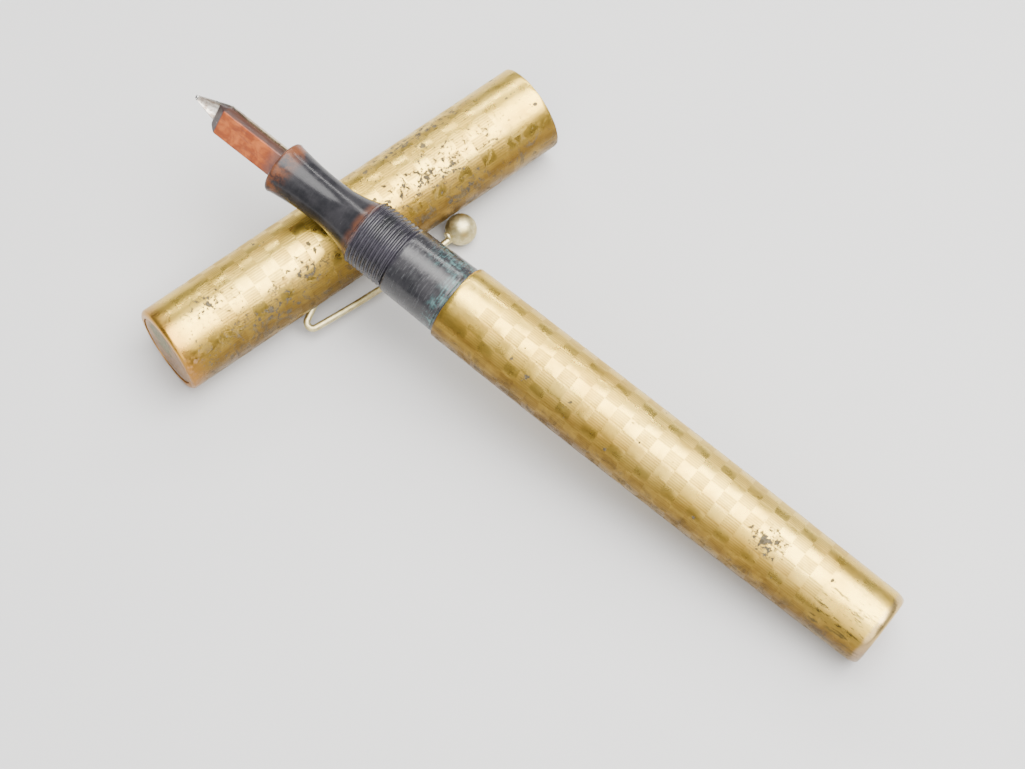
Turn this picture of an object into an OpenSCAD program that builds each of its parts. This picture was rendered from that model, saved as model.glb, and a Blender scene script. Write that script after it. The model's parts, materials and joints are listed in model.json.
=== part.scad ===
// Fountain pen with a metal-covered body, lying across its own cap.
// The pen is drawn in its own frame (Z from barrel end to nib, X towards the lever) and the cap in
// its own (Z from closed end to mouth, X towards the clip). place_pen and place_cap set both down.
// Units are millimetres and the floor is Z = 0.

/* [Node] */
// Which piece to draw

/* [Cap] */
// Length of the cap
cap_len = 62.4; // [61:0.2:64]
// Outside radius of the cap at its mouth
cap_r = 6.4; // [6.35:0.05:6.6]
// How much slimmer the cap is at its closed end
cap_taper = 0.08; // [0:0.02:0.12]
// Inside radius of the metal cap cover
cap_shell_bore_r = 6.15; // [6.12:0.01:6.16]
// Width of the rounded edge at the closed end
cap_edge = 0.6; // [0.4:0.1:0.8]
// Radius of the flat disc in the closed end
crown_r = 5.2; // [4.8:0.1:5.3]
// Inside radius of the cap ahead of its thread
cap_mouth_bore_r = 5.3; // [5.25:0.05:5.4]
// Length of that plain bore
cap_mouth_depth = 9.4; // [9:0.2:10]
// Inside radius of the inner cap
inner_cap_bore_r = 3.6; // [3.4:0.1:3.7]
// Distance from the closed end to the open edge of the inner cap
inner_cap_end = 31.6; // [28:0.2:31.6]

/* [Clip] */
// Radius of the clip wire
wire_r = 0.5; // [0.4:0.05:0.55]
// Radius of the ball on the clip
ball_r = 2.25; // [2.1:0.05:2.25]
// Distance from the closed end to the ball
ball_z = 44.1; // [42:0.2:46]
// Distance from the cap's axis to the ball
ball_reach = 8.72; // [8.72:0.02:8.9]
// Distance from the closed end to the clip's bend
bend_z = 19.05; // [18:0.2:20]
// Distance from the cap's axis to the middle of the bend
bend_reach = 7.85; // [7.8:0.05:7.95]
// Radius of the bend
bend_r = 0.85; // [0.8:0.05:0.95]
// Angle between the clip's root and the cap's side
root_slope = 30; // [28:1:32]

/* [Barrel] */
// Length of the metal barrel cover
barrel_len = 70.4; // [69:0.2:72]
// Outside radius of the barrel at its closed end
barrel_r_end = 5.4; // [5.35:0.05:5.5]
// Outside radius of the barrel at its open end
barrel_r_open = 5.55; // [5.45:0.05:5.6]
// How far the middle of the barrel swells
barrel_swell = 0.24; // [0.2:0.02:0.26]
// Inside radius of the metal barrel cover
barrel_shell_bore_r = 5.15; // [5.14:0.01:5.18]
// Width of the rounded edge at the barrel end
barrel_edge = 0.8; // [0.6:0.1:0.8]
// Radius of the disc in the barrel end
end_disc_r = 4.55; // [4.3:0.05:4.55]
// Length of the plain neck between the cover and the thread
neck_len = 9.2; // [8.6:0.2:9.2]
// Number of thread ridges
thread_count = 10; // [8:1:10]
// Distance between thread ridges
thread_pitch = 0.66; // [0.6:0.02:0.66]
// Radius over the thread ridges
thread_r = 4.8; // [4.76:0.02:4.82]
// Inside radius of the hard-rubber barrel
barrel_bore_r = 4.05; // [4.03:0.01:4.07]

/* [Section and nib] */
// Length of the grip in front of the thread
grip_len = 14.4; // [14:0.2:15.6]
// Radius of the grip beside the thread
grip_r_back = 4.4; // [4.3:0.05:4.45]
// Radius of the grip at its waist
grip_r_waist = 3.2; // [3.15:0.05:3.3]
// Radius of the grip at its front lip
grip_r_lip = 3.9; // [3.7:0.05:4]
// Distance from the thread to the waist
grip_waist_at = 6.0; // [5.6:0.2:6.6]
// Inside radius of the grip, where the nib and feed sit
grip_bore_r = 2.45; // [2.43:0.01:2.47]
// How far the nib reaches beyond the grip
nib_reach = 15.8; // [14.6:0.2:16.2]
// Thickness of the nib
nib_t = 0.22; // [0.18:0.02:0.24]
// Length of the pointed part of the nib
tine_len = 5.4; // [5:0.2:5.8]
// Distance from the feed's axis to its flat underside
feed_flat = 1.19; // [1.1:0.05:1.3]

/* [Filler] */
// Distance from the barrel end to the lever's pin
lever_z = 27; // [25:0.5:28]
// Length of the lever beyond its pin
lever_len = 22.5; // [21:0.5:23]
// Width of the lever
lever_w = 2.3; // [2.2:0.05:2.35]
// Radius of the ink sac
sac_r = 2.9; // [2.85:0.01:2.9]

/* [Arrangement] */
// Compass angle of the pen, seen from above
pen_azimuth = 193.8; // [190:0.2:198]
// Distance along the cap from its closed end to where the pen crosses
cross_on_cap = 28.15; // [27.5:0.05:30]
// Distance along the pen from its barrel end to where it crosses the cap
cross_on_pen = 92.3; // [90.6:0.1:93.2]
// How far below level the lever faces, on the far side
lever_drop = 10; // [5:1:15]
// How far below level the nib faces, on the far side
nib_drop = 38; // [30:0.2:42]

/* [Hidden] */
$fn = 96;
eps = 0.01;
fit = 0.05;
slip = 0.03;
deg90 = 90;
full = 360;
big = 40;
cover_steps = 12;
edge_steps = 5;
grip_steps = 16;
mm_per_rad = 1.9;
open_deg = 80;

cap_r_end = cap_r - cap_taper;
cap_liner_r = cap_shell_bore_r - fit;
cap_end_wall = 0.6;
cap_liner_start = cap_end_wall + fit;
cap_liner_floor = 2.25;
cap_liner_bore_r = 4.95;
cap_thread_r = thread_r - 0.2;
cap_thread_root_r = thread_r + 0.06;
cap_thread_len = thread_count * thread_pitch + 0.2;
cap_thread_end = cap_len - cap_mouth_depth;
cap_thread_start = cap_thread_end - cap_thread_len;
mouth_lip = 0.1;
crown_sink = 0.08;
crown_dish = 0.12;
inner_cap_r = cap_liner_bore_r - fit;
inner_cap_floor = 4.2;
anchor_z0 = bend_z + 2.35;
anchor_len = 4.2;
anchor_w = 3.6;
anchor_t = 0.25;
anchor_r = cap_liner_bore_r + 0.02;
anchor_pocket = 0.3;

root_x = bend_reach - bend_r * cos(root_slope);
root_z = bend_z - bend_r * sin(root_slope);
root_inner_x = cap_liner_bore_r + anchor_pocket + wire_r;
root_len = (root_x - root_inner_x) / sin(root_slope);
wire_join = 0.1;
wire_leg_r = wire_r - 0.02;
wire_hole_r = wire_r + 0.16;
wire_end_x = ball_reach + 0.32;
wire_end_z = ball_z;
shank_slope = atan((wire_end_x - bend_reach - bend_r) / (wire_end_z - bend_z));
bend_sweep = 180 - root_slope - shank_slope;
shank_x = bend_reach + bend_r * cos(shank_slope);
shank_z = bend_z - bend_r * sin(shank_slope);
ball_socket = ball_r - 0.3;
shank_len = (wire_end_z - shank_z) / cos(shank_slope) - ball_socket;
ball_lift = 0.02;
clip_drop = asin((cap_r - ball_r - ball_lift) / ball_reach);

liner_r = barrel_shell_bore_r - fit;
barrel_end_wall = 0.7;
liner_start = barrel_end_wall + fit;
liner_floor = 2.5;
end_disc_sink = 0.1;
neck_start = barrel_len + 0.04;
neck_end = barrel_len + neck_len;
neck_r_back = 5.15;
neck_r_front = 4.95;
neck_groove = 0.4;
neck_groove_r = 5.0;
thread_root_r = thread_r - 0.28;
thread_end = neck_end + thread_count * thread_pitch + 0.1;
grip_start = thread_end + fit;
grip_end = grip_start + grip_len;
tenon_r = barrel_bore_r - slip;
tenon_len = 8.4;
nipple_r = 2.45;
nipple_len = 6.5;
nipple_bore_r = 1.2;
tenon_z0 = grip_start - tenon_len;
nipple_z0 = tenon_z0 - nipple_len;
grip_bore_z0 = grip_end - 21;
lip_round = 0.45;
pen_len = grip_end + nib_reach;

nib_r = grip_bore_r - slip;
nib_half_deg = 84;
nib_edge_x = nib_r * cos(nib_half_deg);
nib_back = grip_end - 11;
shoulder_z = pen_len - tine_len;
tip_cut = 0.5;
tip_r = 0.42;
tip_x = 0.75;
cone_r_tip = 0.72;
breather_r = 0.6;
breather_z = shoulder_z - 3.6;
slit_w = 0.12;
shoulder_w = 2.38;
tine_mid_w = 1.35;
tine_tip_w = 0.42;
feed_r = nib_r - slip;
feed_under_r = nib_r - nib_t - slip;
feed_back = grip_end - 19.5;
feed_end = pen_len - 3.9;
feed_slope = 45;
feed_chamfer = 1.4;
cone_slope = (nib_r - cone_r_tip) / (tine_len - tip_cut);
feed_nose_r = feed_under_r - cone_slope * (feed_end - shoulder_z);
flat_start = grip_end - 0.4;
nib_seat = 0.2;
channel_w = 0.5;

lever_axis_x = 4.6;
pin_r = 0.35;
pin_len = 3.2;
box_w = 3.3;
box_wall = 0.35;
box_fit = 0.04;
box_z0 = lever_z - 3.9;
box_z1 = lever_z + lever_len + 1.2;
box_x0 = barrel_bore_r + 0.1;
box_r = barrel_r_end + barrel_swell + 0.02;
lever_top = 5.8;
lever_t = 0.9;
lever_hub_r = 0.85;
tail_len = 2.75;
tail_r = 0.45;
bar_x0 = 3.15;
bar_t = 0.4;
bar_w = 2.6;
bar_z0 = 14;
bar_z1 = 62;
spring_t = 0.25;
spring_free_x = bar_x0 - 0.02;
spring_wall_x = 3.8;
spring_mid_x = (spring_free_x - spring_wall_x) / 2;
spring_bend_r = (spring_free_x + spring_wall_x) / 2;
spring_w = 2.2;
spring_bend_z = 6.4;
spring_leg = 10;
spring_short_leg = 7;
sac_t = 0.4;
sac_z0 = 17.5;
sac_z1 = tenon_z0 - 0.2;

// Radius of the barrel cover at a distance z from its closed end
function cover_r(z) = barrel_r_end + (barrel_r_open - barrel_r_end) * z / barrel_len
  + 4 * barrel_swell * z / barrel_len * (1 - z / barrel_len);

// Radius of the grip at a distance u in front of the thread
function grip_r(u) = u < grip_waist_at
  ? grip_r_waist + (grip_r_back - grip_r_waist) * pow((grip_waist_at - u) / grip_waist_at, 2)
  : grip_r_waist + (grip_r_lip - grip_r_waist) * pow((u - grip_waist_at) / (grip_len - grip_waist_at), 2);

// Height of the cap's top at a sideways distance d from its axis
function cap_top(d) = cap_r + sqrt(cap_r * cap_r - d * d);

// The pen leans so that its barrel end is on the floor and its grip is just clear of the cap
rest_gap = 0.17;
lean_guess = asin((2 * cap_r + grip_r_waist - barrel_r_end) / cross_on_pen);
cross_cos = abs(cos(pen_azimuth));
rest_steps = [for (d = [-4:0.05:4]) cap_top(d * cross_cos) + d * tan(lean_guess)
  + grip_r(cross_on_pen - d - grip_start) / cos(lean_guess)];
axis_over_cap = max(rest_steps) + rest_gap;
axis_at_end = barrel_r_end * cos(lean_guess) - barrel_edge * sin(lean_guess);
lean = asin((axis_over_cap - axis_at_end) / cross_on_pen);

// The assembly is centred on its own bounding box
end_x = cross_on_pen * cos(lean) * abs(cos(pen_azimuth));
end_y = cross_on_cap + cross_on_pen * cos(lean) * abs(sin(pen_azimuth));
dir_x = cos(lean) * abs(cos(pen_azimuth));
side_x = sqrt(1 - dir_x * dir_x);
box_x_max = end_x + max((barrel_r_end - barrel_edge) * side_x, barrel_r_end * side_x - barrel_edge * dir_x);
box_x_min = end_x - pen_len * dir_x;
centre_x = (box_x_max + box_x_min) / 2;
centre_y = cap_len / 2;

gold = [0.80, 0.62, 0.27];
bronze = [0.55, 0.38, 0.20];
ebonite = [0.08, 0.08, 0.09];
steel = [0.66, 0.64, 0.60];
rubber = [0.20, 0.15, 0.12];

module place_cap() {
  translate([-centre_x, -centre_y, cap_r])
    rotate([-deg90, 0, 0])
      rotate([0, 0, clip_drop])
        children();
}

module place_pen() {
  translate([end_x - centre_x, end_y - centre_y, axis_at_end])
    rotate([0, 0, pen_azimuth])
      rotate([0, deg90 - lean, 0])
        rotate([0, 0, lever_drop - deg90])
          children();
}

module place_nib() {
  place_pen()
    rotate([0, 0, nib_drop - lever_drop])
      children();
}

// Sets a part along the clip's root, from the bend inwards
module along_root() {
  translate([root_x, 0, root_z])
    rotate([0, -root_slope, 0])
      children();
}

// A block that cuts the lever box's slot through a wall
module lever_slot() {
  translate([0, -box_w / 2 - box_fit, box_z0 - box_fit])
    cube([big, box_w + 2 * box_fit, box_z1 - box_z0 + 2 * box_fit]);
}

module cap_shell() {
  color(gold)
    place_cap()
      difference() {
        rotate_extrude()
          polygon(concat([[crown_r + fit, 0], [cap_r_end - cap_edge, 0]],
            [for (i = [1:edge_steps]) [cap_r_end - cap_edge * (1 - sin(deg90 * i / edge_steps)),
              cap_edge * (1 - cos(deg90 * i / edge_steps))]],
            [[cap_r, cap_len - mouth_lip], [cap_r - mouth_lip, cap_len], [cap_shell_bore_r, cap_len],
              [cap_shell_bore_r, cap_end_wall], [crown_r + fit, cap_end_wall]]));
        along_root()
          cylinder(r = wire_hole_r, h = root_len);
      }
}

module cap_crown() {
  color(bronze)
    place_cap()
      rotate_extrude()
        polygon([[0, crown_sink], [crown_r - 0.5, crown_sink], [crown_r, crown_sink + crown_dish],
          [crown_r, cap_end_wall], [0, cap_end_wall]]);
}

module cap_liner() {
  color(ebonite)
    place_cap()
      difference() {
        translate([0, 0, cap_liner_start])
          cylinder(r = cap_liner_r, h = cap_len - mouth_lip - cap_liner_start);
        translate([0, 0, cap_liner_floor])
          cylinder(r = cap_liner_bore_r, h = cap_thread_start - cap_liner_floor);
        translate([0, 0, cap_thread_start - eps])
          rotate_extrude()
            polygon(concat([[0, 0]],
              [for (i = [0:thread_count - 1]) each [[cap_thread_r, i * thread_pitch],
                [cap_thread_root_r, (i + 0.5) * thread_pitch]]],
              [[cap_thread_r, thread_count * thread_pitch], [cap_thread_r, cap_thread_len + 2 * eps],
                [0, cap_thread_len + 2 * eps]]));
        translate([0, 0, cap_thread_end])
          cylinder(r = cap_mouth_bore_r, h = cap_mouth_depth + 1);
        translate([0, -anchor_w / 2 - fit, anchor_z0 - fit])
          cube([cap_liner_bore_r + anchor_pocket, anchor_w + 2 * fit, anchor_len + 2 * fit]);
        along_root()
          cylinder(r = wire_hole_r, h = root_len + wire_r);
      }
}

module inner_cap() {
  color(ebonite)
    place_cap()
      difference() {
        translate([0, 0, cap_liner_floor + fit])
          cylinder(r = inner_cap_r, h = inner_cap_end - cap_liner_floor - fit);
        translate([0, 0, inner_cap_floor])
          cylinder(r = inner_cap_bore_r, h = inner_cap_end);
      }
}

module clip_anchor() {
  color(bronze)
    place_cap()
      translate([anchor_r, -anchor_w / 2, anchor_z0])
        cube([anchor_t, anchor_w, anchor_len]);
}

module clip_wire() {
  color(gold)
    place_cap() {
      along_root()
        translate([0, 0, -wire_join])
          cylinder(r = wire_leg_r, h = root_len + wire_join);
      translate([bend_reach, 0, bend_z])
        rotate([0, 0, -deg90])
          rotate([0, -deg90, 0])
            rotate([0, 0, deg90 + shank_slope])
              rotate_extrude(angle = bend_sweep)
                translate([bend_r, 0])
                  circle(r = wire_r);
      translate([shank_x, 0, shank_z])
        rotate([0, shank_slope, 0])
          translate([0, 0, -wire_join])
            cylinder(r = wire_leg_r, h = shank_len + wire_join);
    }
}

module clip_ball() {
  color(gold)
    place_cap()
      translate([ball_reach, 0, ball_z])
        sphere(r = ball_r);
}

module barrel_shell() {
  color(gold)
    place_pen()
      difference() {
        rotate_extrude()
          polygon(concat([[end_disc_r + fit, 0], [barrel_r_end - barrel_edge, 0]],
            [for (i = [1:edge_steps]) [barrel_r_end - barrel_edge * (1 - sin(deg90 * i / edge_steps)),
              barrel_edge * (1 - cos(deg90 * i / edge_steps))]],
            [for (i = [1:cover_steps]) let (z = barrel_edge + (barrel_len - 0.2 - barrel_edge) * i / cover_steps)
              [cover_r(z), z]],
            [[barrel_r_open - 0.2, barrel_len], [barrel_shell_bore_r, barrel_len],
              [barrel_shell_bore_r, barrel_end_wall], [end_disc_r + fit, barrel_end_wall]]));
        lever_slot();
      }
}

module barrel_end_disc() {
  color(bronze)
    place_pen()
      translate([0, 0, end_disc_sink])
        cylinder(r = end_disc_r, h = barrel_end_wall - end_disc_sink);
}

module barrel_liner() {
  color(ebonite)
    place_pen()
      difference() {
        union() {
          translate([0, 0, liner_start])
            cylinder(r = liner_r, h = barrel_len - liner_start);
          rotate_extrude()
            polygon(concat([[0, barrel_len - 1], [neck_groove_r, barrel_len - 1],
              [neck_groove_r, neck_start + neck_groove], [neck_r_back, neck_start + neck_groove],
              [neck_r_front, neck_end]],
              [for (i = [0:thread_count - 1]) each [[thread_root_r, neck_end + i * thread_pitch + eps],
                [thread_r, neck_end + (i + 0.5) * thread_pitch]]],
              [[thread_root_r, thread_end], [0, thread_end]]));
        }
        translate([0, 0, liner_floor])
          cylinder(r = barrel_bore_r, h = pen_len);
        lever_slot();
      }
}

module lever_box() {
  color(bronze)
    place_pen()
      difference() {
        intersection() {
          translate([box_x0, -box_w / 2, box_z0])
            cube([big, box_w, box_z1 - box_z0]);
          cylinder(r = box_r, h = pen_len);
        }
        translate([0, box_wall - box_w / 2, box_z0 + box_wall])
          cube([big, box_w - 2 * box_wall, box_z1 - box_z0 - 2 * box_wall]);
        translate([lever_axis_x, big / 2, lever_z])
          rotate([deg90, 0, 0])
            cylinder(r = pin_r + slip, h = big);
      }
}

module lever_pin() {
  color(steel)
    place_pen()
      translate([lever_axis_x, pin_len / 2, lever_z])
        rotate([deg90, 0, 0])
          cylinder(r = pin_r, h = pin_len);
}

module lever() {
  color(gold)
    place_pen()
      difference() {
        union() {
          intersection() {
            translate([lever_top - lever_t, -lever_w / 2, lever_z])
              union() {
                cube([big, lever_w, lever_len - lever_w / 2]);
                translate([0, lever_w / 2, lever_len - lever_w / 2])
                  rotate([0, deg90, 0])
                    cylinder(r = lever_w / 2, h = big);
              }
            cylinder(r = lever_top, h = pen_len);
          }
          translate([lever_axis_x, lever_w / 2, lever_z])
            rotate([deg90, 0, 0])
              cylinder(r = lever_hub_r, h = lever_w);
          translate([lever_axis_x - tail_r, -lever_w / 2, lever_z - tail_len])
            cube([2 * tail_r, lever_w, tail_len]);
          translate([lever_axis_x, lever_w / 2, lever_z - tail_len])
            rotate([deg90, 0, 0])
              cylinder(r = tail_r, h = lever_w);
        }
        translate([lever_axis_x, big / 2, lever_z])
          rotate([deg90, 0, 0])
            cylinder(r = pin_r + fit, h = big);
      }
}

module pressure_bar() {
  color(steel)
    place_pen()
      translate([bar_x0, -bar_w / 2, bar_z0])
        cube([bar_t, bar_w, bar_z1 - bar_z0]);
}

module bar_spring() {
  color(steel)
    place_pen() {
      translate([spring_mid_x + spring_bend_r - spring_t, -spring_w / 2, spring_bend_z])
        cube([spring_t, spring_w, spring_leg]);
      translate([spring_mid_x - spring_bend_r, -spring_w / 2, spring_bend_z])
        cube([spring_t, spring_w, spring_short_leg]);
      translate([spring_mid_x, spring_w / 2, spring_bend_z])
        rotate([deg90, 0, 0])
          rotate([0, 0, 2 * deg90])
            rotate_extrude(angle = 2 * deg90)
              translate([spring_bend_r - spring_t, 0])
                square([spring_t, spring_w]);
    }
}

module ink_sac() {
  color(rubber)
    place_pen()
      rotate_extrude()
        polygon(concat([[0, sac_z0]],
          [for (i = [1:edge_steps]) [sac_r * sin(deg90 * i / edge_steps),
            sac_z0 + sac_r * (1 - cos(deg90 * i / edge_steps))]],
          [[sac_r, sac_z1], [sac_r - sac_t, sac_z1]],
          [for (i = [0:edge_steps - 1]) [(sac_r - sac_t) * cos(deg90 * i / edge_steps),
            sac_z0 + sac_r - (sac_r - sac_t) * sin(deg90 * i / edge_steps)]],
          [[0, sac_z0 + sac_t]]));
}

module grip_section() {
  color(ebonite)
    place_pen()
      rotate_extrude()
        polygon(concat([[nipple_bore_r, nipple_z0], [nipple_r, nipple_z0], [nipple_r, tenon_z0],
          [tenon_r, tenon_z0], [tenon_r, grip_start]],
          [for (i = [0:grip_steps]) let (u = (grip_len - lip_round) * i / grip_steps)
            [grip_r(u), grip_start + u]],
          [for (i = [1:edge_steps]) [grip_r_lip - lip_round * (1 - cos(deg90 * i / edge_steps)),
            grip_end - lip_round * (1 - sin(deg90 * i / edge_steps))]],
          [[grip_bore_r, grip_end], [grip_bore_r, grip_bore_z0], [nipple_bore_r, grip_bore_z0]]));
}

module feed() {
  color(ebonite)
    place_nib()
      difference() {
        union() {
          translate([0, 0, feed_back])
            cylinder(r = feed_under_r, h = shoulder_z - feed_back);
          intersection() {
            translate([0, 0, feed_back])
              cylinder(r = feed_r, h = shoulder_z - feed_back);
            translate([-big, -big / 2, 0])
              cube([big + nib_edge_x - nib_seat, big, pen_len]);
          }
          translate([0, 0, shoulder_z - eps])
            cylinder(r1 = feed_under_r, r2 = feed_nose_r, h = feed_end - shoulder_z);
        }
        translate([-big - feed_flat, -big / 2, flat_start])
          cube([big, big, big]);
        translate([-feed_flat, 0, feed_end - feed_chamfer])
          rotate([0, feed_slope, 0])
            translate([-big, -big / 2, 0])
              cube([big, big, big]);
        translate([feed_under_r - channel_w, -channel_w / 2, 0])
          cube([big, channel_w, pen_len]);
      }
}

module nib() {
  color(steel)
    place_nib()
      difference() {
        intersection() {
          union() {
            translate([0, 0, nib_back])
              cylinder(r = nib_r, h = shoulder_z - nib_back);
            translate([0, 0, shoulder_z])
              cylinder(r1 = nib_r, r2 = cone_r_tip, h = tine_len - tip_cut);
          }
          rotate([0, -deg90, 0])
            mirror([0, 0, 1])
              translate([0, 0, nib_edge_x])
                linear_extrude(height = big)
                  polygon([[nib_back - 1, -nib_r], [shoulder_z, -shoulder_w], [shoulder_z + tine_len / 2, -tine_mid_w],
                    [pen_len - tip_cut, -tine_tip_w], [pen_len - tip_cut, tine_tip_w],
                    [shoulder_z + tine_len / 2, tine_mid_w], [shoulder_z, shoulder_w], [nib_back - 1, nib_r]]);
        }
        cylinder(r = nib_r - nib_t, h = shoulder_z);
        translate([0, 0, shoulder_z - eps])
          cylinder(r1 = nib_r - nib_t, r2 = cone_r_tip - nib_t, h = tine_len - tip_cut + 2 * eps);
        translate([0, 0, breather_z])
          rotate([0, deg90, 0])
            cylinder(r = breather_r, h = big);
        translate([0, -slit_w / 2, breather_z])
          cube([big, slit_w, big]);
      }
}

module nib_tip() {
  color(steel)
    place_nib()
      intersection() {
        translate([tip_x - nib_t / 2, 0, pen_len - tip_r])
          sphere(r = tip_r);
        translate([-big / 2, -big / 2, pen_len - tip_cut + slip])
          cube([big, big, big]);
      }
}

cap_shell();
cap_crown();
cap_liner();
inner_cap();
clip_anchor();
clip_wire();
clip_ball();
barrel_shell();
barrel_end_disc();
barrel_liner();
lever_box();
lever_pin();
lever();
pressure_bar();
bar_spring();
ink_sac();
grip_section();
feed();
nib();
nib_tip();
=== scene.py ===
"""Looks of a metal-covered fountain pen that lies across its own screw cap.

Every piece is drawn in one of three local frames, in millimetres, and set down by a matrix:
the pen's (Z from barrel end to nib, X towards the lever), the nib's (the pen's, turned so that X
is the top of the nib) and the cap's (Z from closed end to mouth, X towards the clip).
"""

import json
import math

import bmesh
import bpy
from mathutils import Matrix, Vector, noise


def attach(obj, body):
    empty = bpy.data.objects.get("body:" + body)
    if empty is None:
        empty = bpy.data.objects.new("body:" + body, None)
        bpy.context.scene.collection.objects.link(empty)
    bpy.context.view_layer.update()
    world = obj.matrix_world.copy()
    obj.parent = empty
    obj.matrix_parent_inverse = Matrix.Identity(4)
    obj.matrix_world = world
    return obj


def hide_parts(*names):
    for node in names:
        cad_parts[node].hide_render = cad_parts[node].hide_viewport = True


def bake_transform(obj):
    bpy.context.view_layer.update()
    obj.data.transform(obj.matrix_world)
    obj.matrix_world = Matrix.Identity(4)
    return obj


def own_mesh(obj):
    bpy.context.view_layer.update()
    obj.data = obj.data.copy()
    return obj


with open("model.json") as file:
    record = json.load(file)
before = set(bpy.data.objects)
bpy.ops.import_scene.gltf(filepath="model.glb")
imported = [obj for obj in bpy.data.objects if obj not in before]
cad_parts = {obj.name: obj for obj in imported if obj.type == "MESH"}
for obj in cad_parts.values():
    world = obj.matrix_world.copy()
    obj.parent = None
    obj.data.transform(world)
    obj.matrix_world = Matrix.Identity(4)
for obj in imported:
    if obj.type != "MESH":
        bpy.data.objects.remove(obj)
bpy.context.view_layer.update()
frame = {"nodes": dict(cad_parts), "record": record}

MM = 0.001
TAU = 2 * math.pi

# Cap, mm
CAP_LEN, CAP_R, CAP_TAPER, CAP_EDGE = 62.4, 6.4, 0.08, 0.6
CAP_BORE, CAP_END_WALL, CROWN_R, MOUTH_LIP = 6.15, 0.6, 5.2, 0.1
CAP_LINER_R, CAP_LINER_START, CAP_LINER_FLOOR, CAP_LINER_BORE = 6.1, 0.65, 2.25, 4.95
CAP_THREAD_MINOR, CAP_THREAD_ROOT, CAP_THREAD_Z = 4.6, 4.86, (46.2, 53.0)
CAP_MOUTH_BORE = 5.3
INNER_CAP_R, INNER_CAP_BORE, INNER_CAP_Z, INNER_CAP_FLOOR = 4.9, 3.6, (2.3, 31.6), 4.2
# Clip, mm
WIRE_R, BALL_R, BALL_X, BALL_Z = 0.5, 2.25, 8.72, 44.1
WIRE_HOLE_R, ROOT_X, ROOT_Z, ROOT_SLOPE = 0.66, 7.114, 18.625, math.radians(30)
ANCHOR_X, ANCHOR_T, ANCHOR_W, ANCHOR_Z = 4.97, 0.25, 3.6, (21.4, 25.6)
# Barrel, mm. Its cover widens evenly from one end to the other and swells between them
COVER_R, COVER_SWELL = (5.4, 5.55), 0.96
BARREL_LEN, BARREL_ROUND, BARREL_BORE, END_WALL = 70.4, 1.4, 5.15, 0.7
END_DISC_R, END_DISC_SINK = 4.55, 0.1
LINER_R, LINER_START, LINER_FLOOR, LINER_BORE = 5.1, 0.75, 2.5, 4.05
NECK_START, NECK_END, NECK_GROOVE, NECK_GROOVE_R = 70.44, 79.6, 0.4, 5.0
NECK_R = (5.15, 4.95)
THREAD_R, THREAD_ROOT, PITCH, THREAD_END = 4.8, 4.52, 0.66, 86.3
# Section, nib and feed, mm
GRIP_Z, GRIP_LEN, GRIP_WAIST_AT = (86.35, 100.75), 14.4, 6.0
GRIP_R_BACK, GRIP_R_WAIST, GRIP_R_LIP, LIP_ROUND, GRIP_BORE = 4.4, 3.2, 3.9, 0.45, 2.45
GRIP_BORE_Z, TENON_R, TENON_Z, NIPPLE_R, NIPPLE_Z, NIPPLE_BORE = 79.75, 4.02, 77.95, 2.45, 71.45, 1.2
NIB_R, NIB_T, NIB_HALF, NIB_Z = 2.42, 0.22, math.radians(84), (89.75, 116.05)
NIB_SHOULDER, NIB_CONE_R = 111.15, 0.72
BREATHER_R, BREATHER_Z, SLIT_W = 0.6, 107.55, 0.12
TIP_R, TIP_X, TIP_Z = 0.42, 0.64, 116.13
FEED_Z, FEED_R, FEED_UNDER_R, FEED_FLAT, FLAT_START = (81.25, 112.65), 2.39, 2.17, 1.19, 100.35
FEED_CHAMFER, FEED_SLOPE, FEED_NOSE_R, CHANNEL = 1.4, math.radians(45), 1.65, 0.5
# Filler, mm
LEVER_X, LEVER_Z, LEVER_LEN, LEVER_W, LEVER_TOP, LEVER_T = 4.6, 27.0, 22.5, 2.3, 5.8, 0.9
HUB_R, TAIL_LEN, TAIL_R, PIN_R, PIN_LEN, PIN_HOLE_R = 0.85, 2.75, 0.45, 0.35, 3.2, 0.4
SLOT_HALF, SLOT_Z = 1.69, (23.06, 50.74)
BAR_X, BAR_T, BAR_W, BAR_Z = 3.15, 0.4, 2.6, (14.0, 62.0)
SPRING_T, SPRING_W, SPRING_MID, SPRING_R, SPRING_Z = 0.25, 2.2, -0.335, 3.465, 6.4
SPRING_LEGS = (10.0, 7.0)
SAC_R, SAC_T, SAC_Z, SAC_NECK_Z = 2.9, 0.4, (17.5, 77.75), 69.5
# Engine turning: cells around, fine lines in a cell, mesh columns in a line and the depth of a line.
# Each cover has its turning between two heights, and a cell's length
CELLS, LINES, LINE_COLS = 18, 6, 4
COLS = CELLS * LINES * LINE_COLS
LINE_DEPTH = 0.016
CAP_TURNING, BARREL_TURNING = (7.4, 54.6), (9.3, 65.7)
CAP_CELL = (CAP_TURNING[1] - CAP_TURNING[0]) / 22
BARREL_CELL = (BARREL_TURNING[1] - BARREL_TURNING[0]) / 26
# Height of the waves left in the covers by handling, mm
WAVE = 0.018
NIB_TURN = math.radians(28)
# Round the barrel, in degrees from the lever: the side that lies uppermost, and the flank that is stained,
# scratched and darkened with painted shade
VIEW_SIDE, SHADED_WORN_SIDE = -119.6, -196.0
# The cap's flank that is stained and darkened with painted shade, in degrees from the clip
CAP_SHADED_WORN_SIDE = -16


# ---------------------------------------------------------------- local frames

def mount(name):
    """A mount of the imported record, as (position, axis)."""
    for m in frame["record"]["mounts"]:
        if m["name"] == name:
            return Vector(m["pos_m"]), Vector(m["axis"])
    raise KeyError(name)


def joint_axis(name):
    """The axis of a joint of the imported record."""
    for j in frame["record"]["behaviour"]["joints"]:
        if j["name"] == name:
            return Vector(j["axis"])
    raise KeyError(name)


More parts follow.
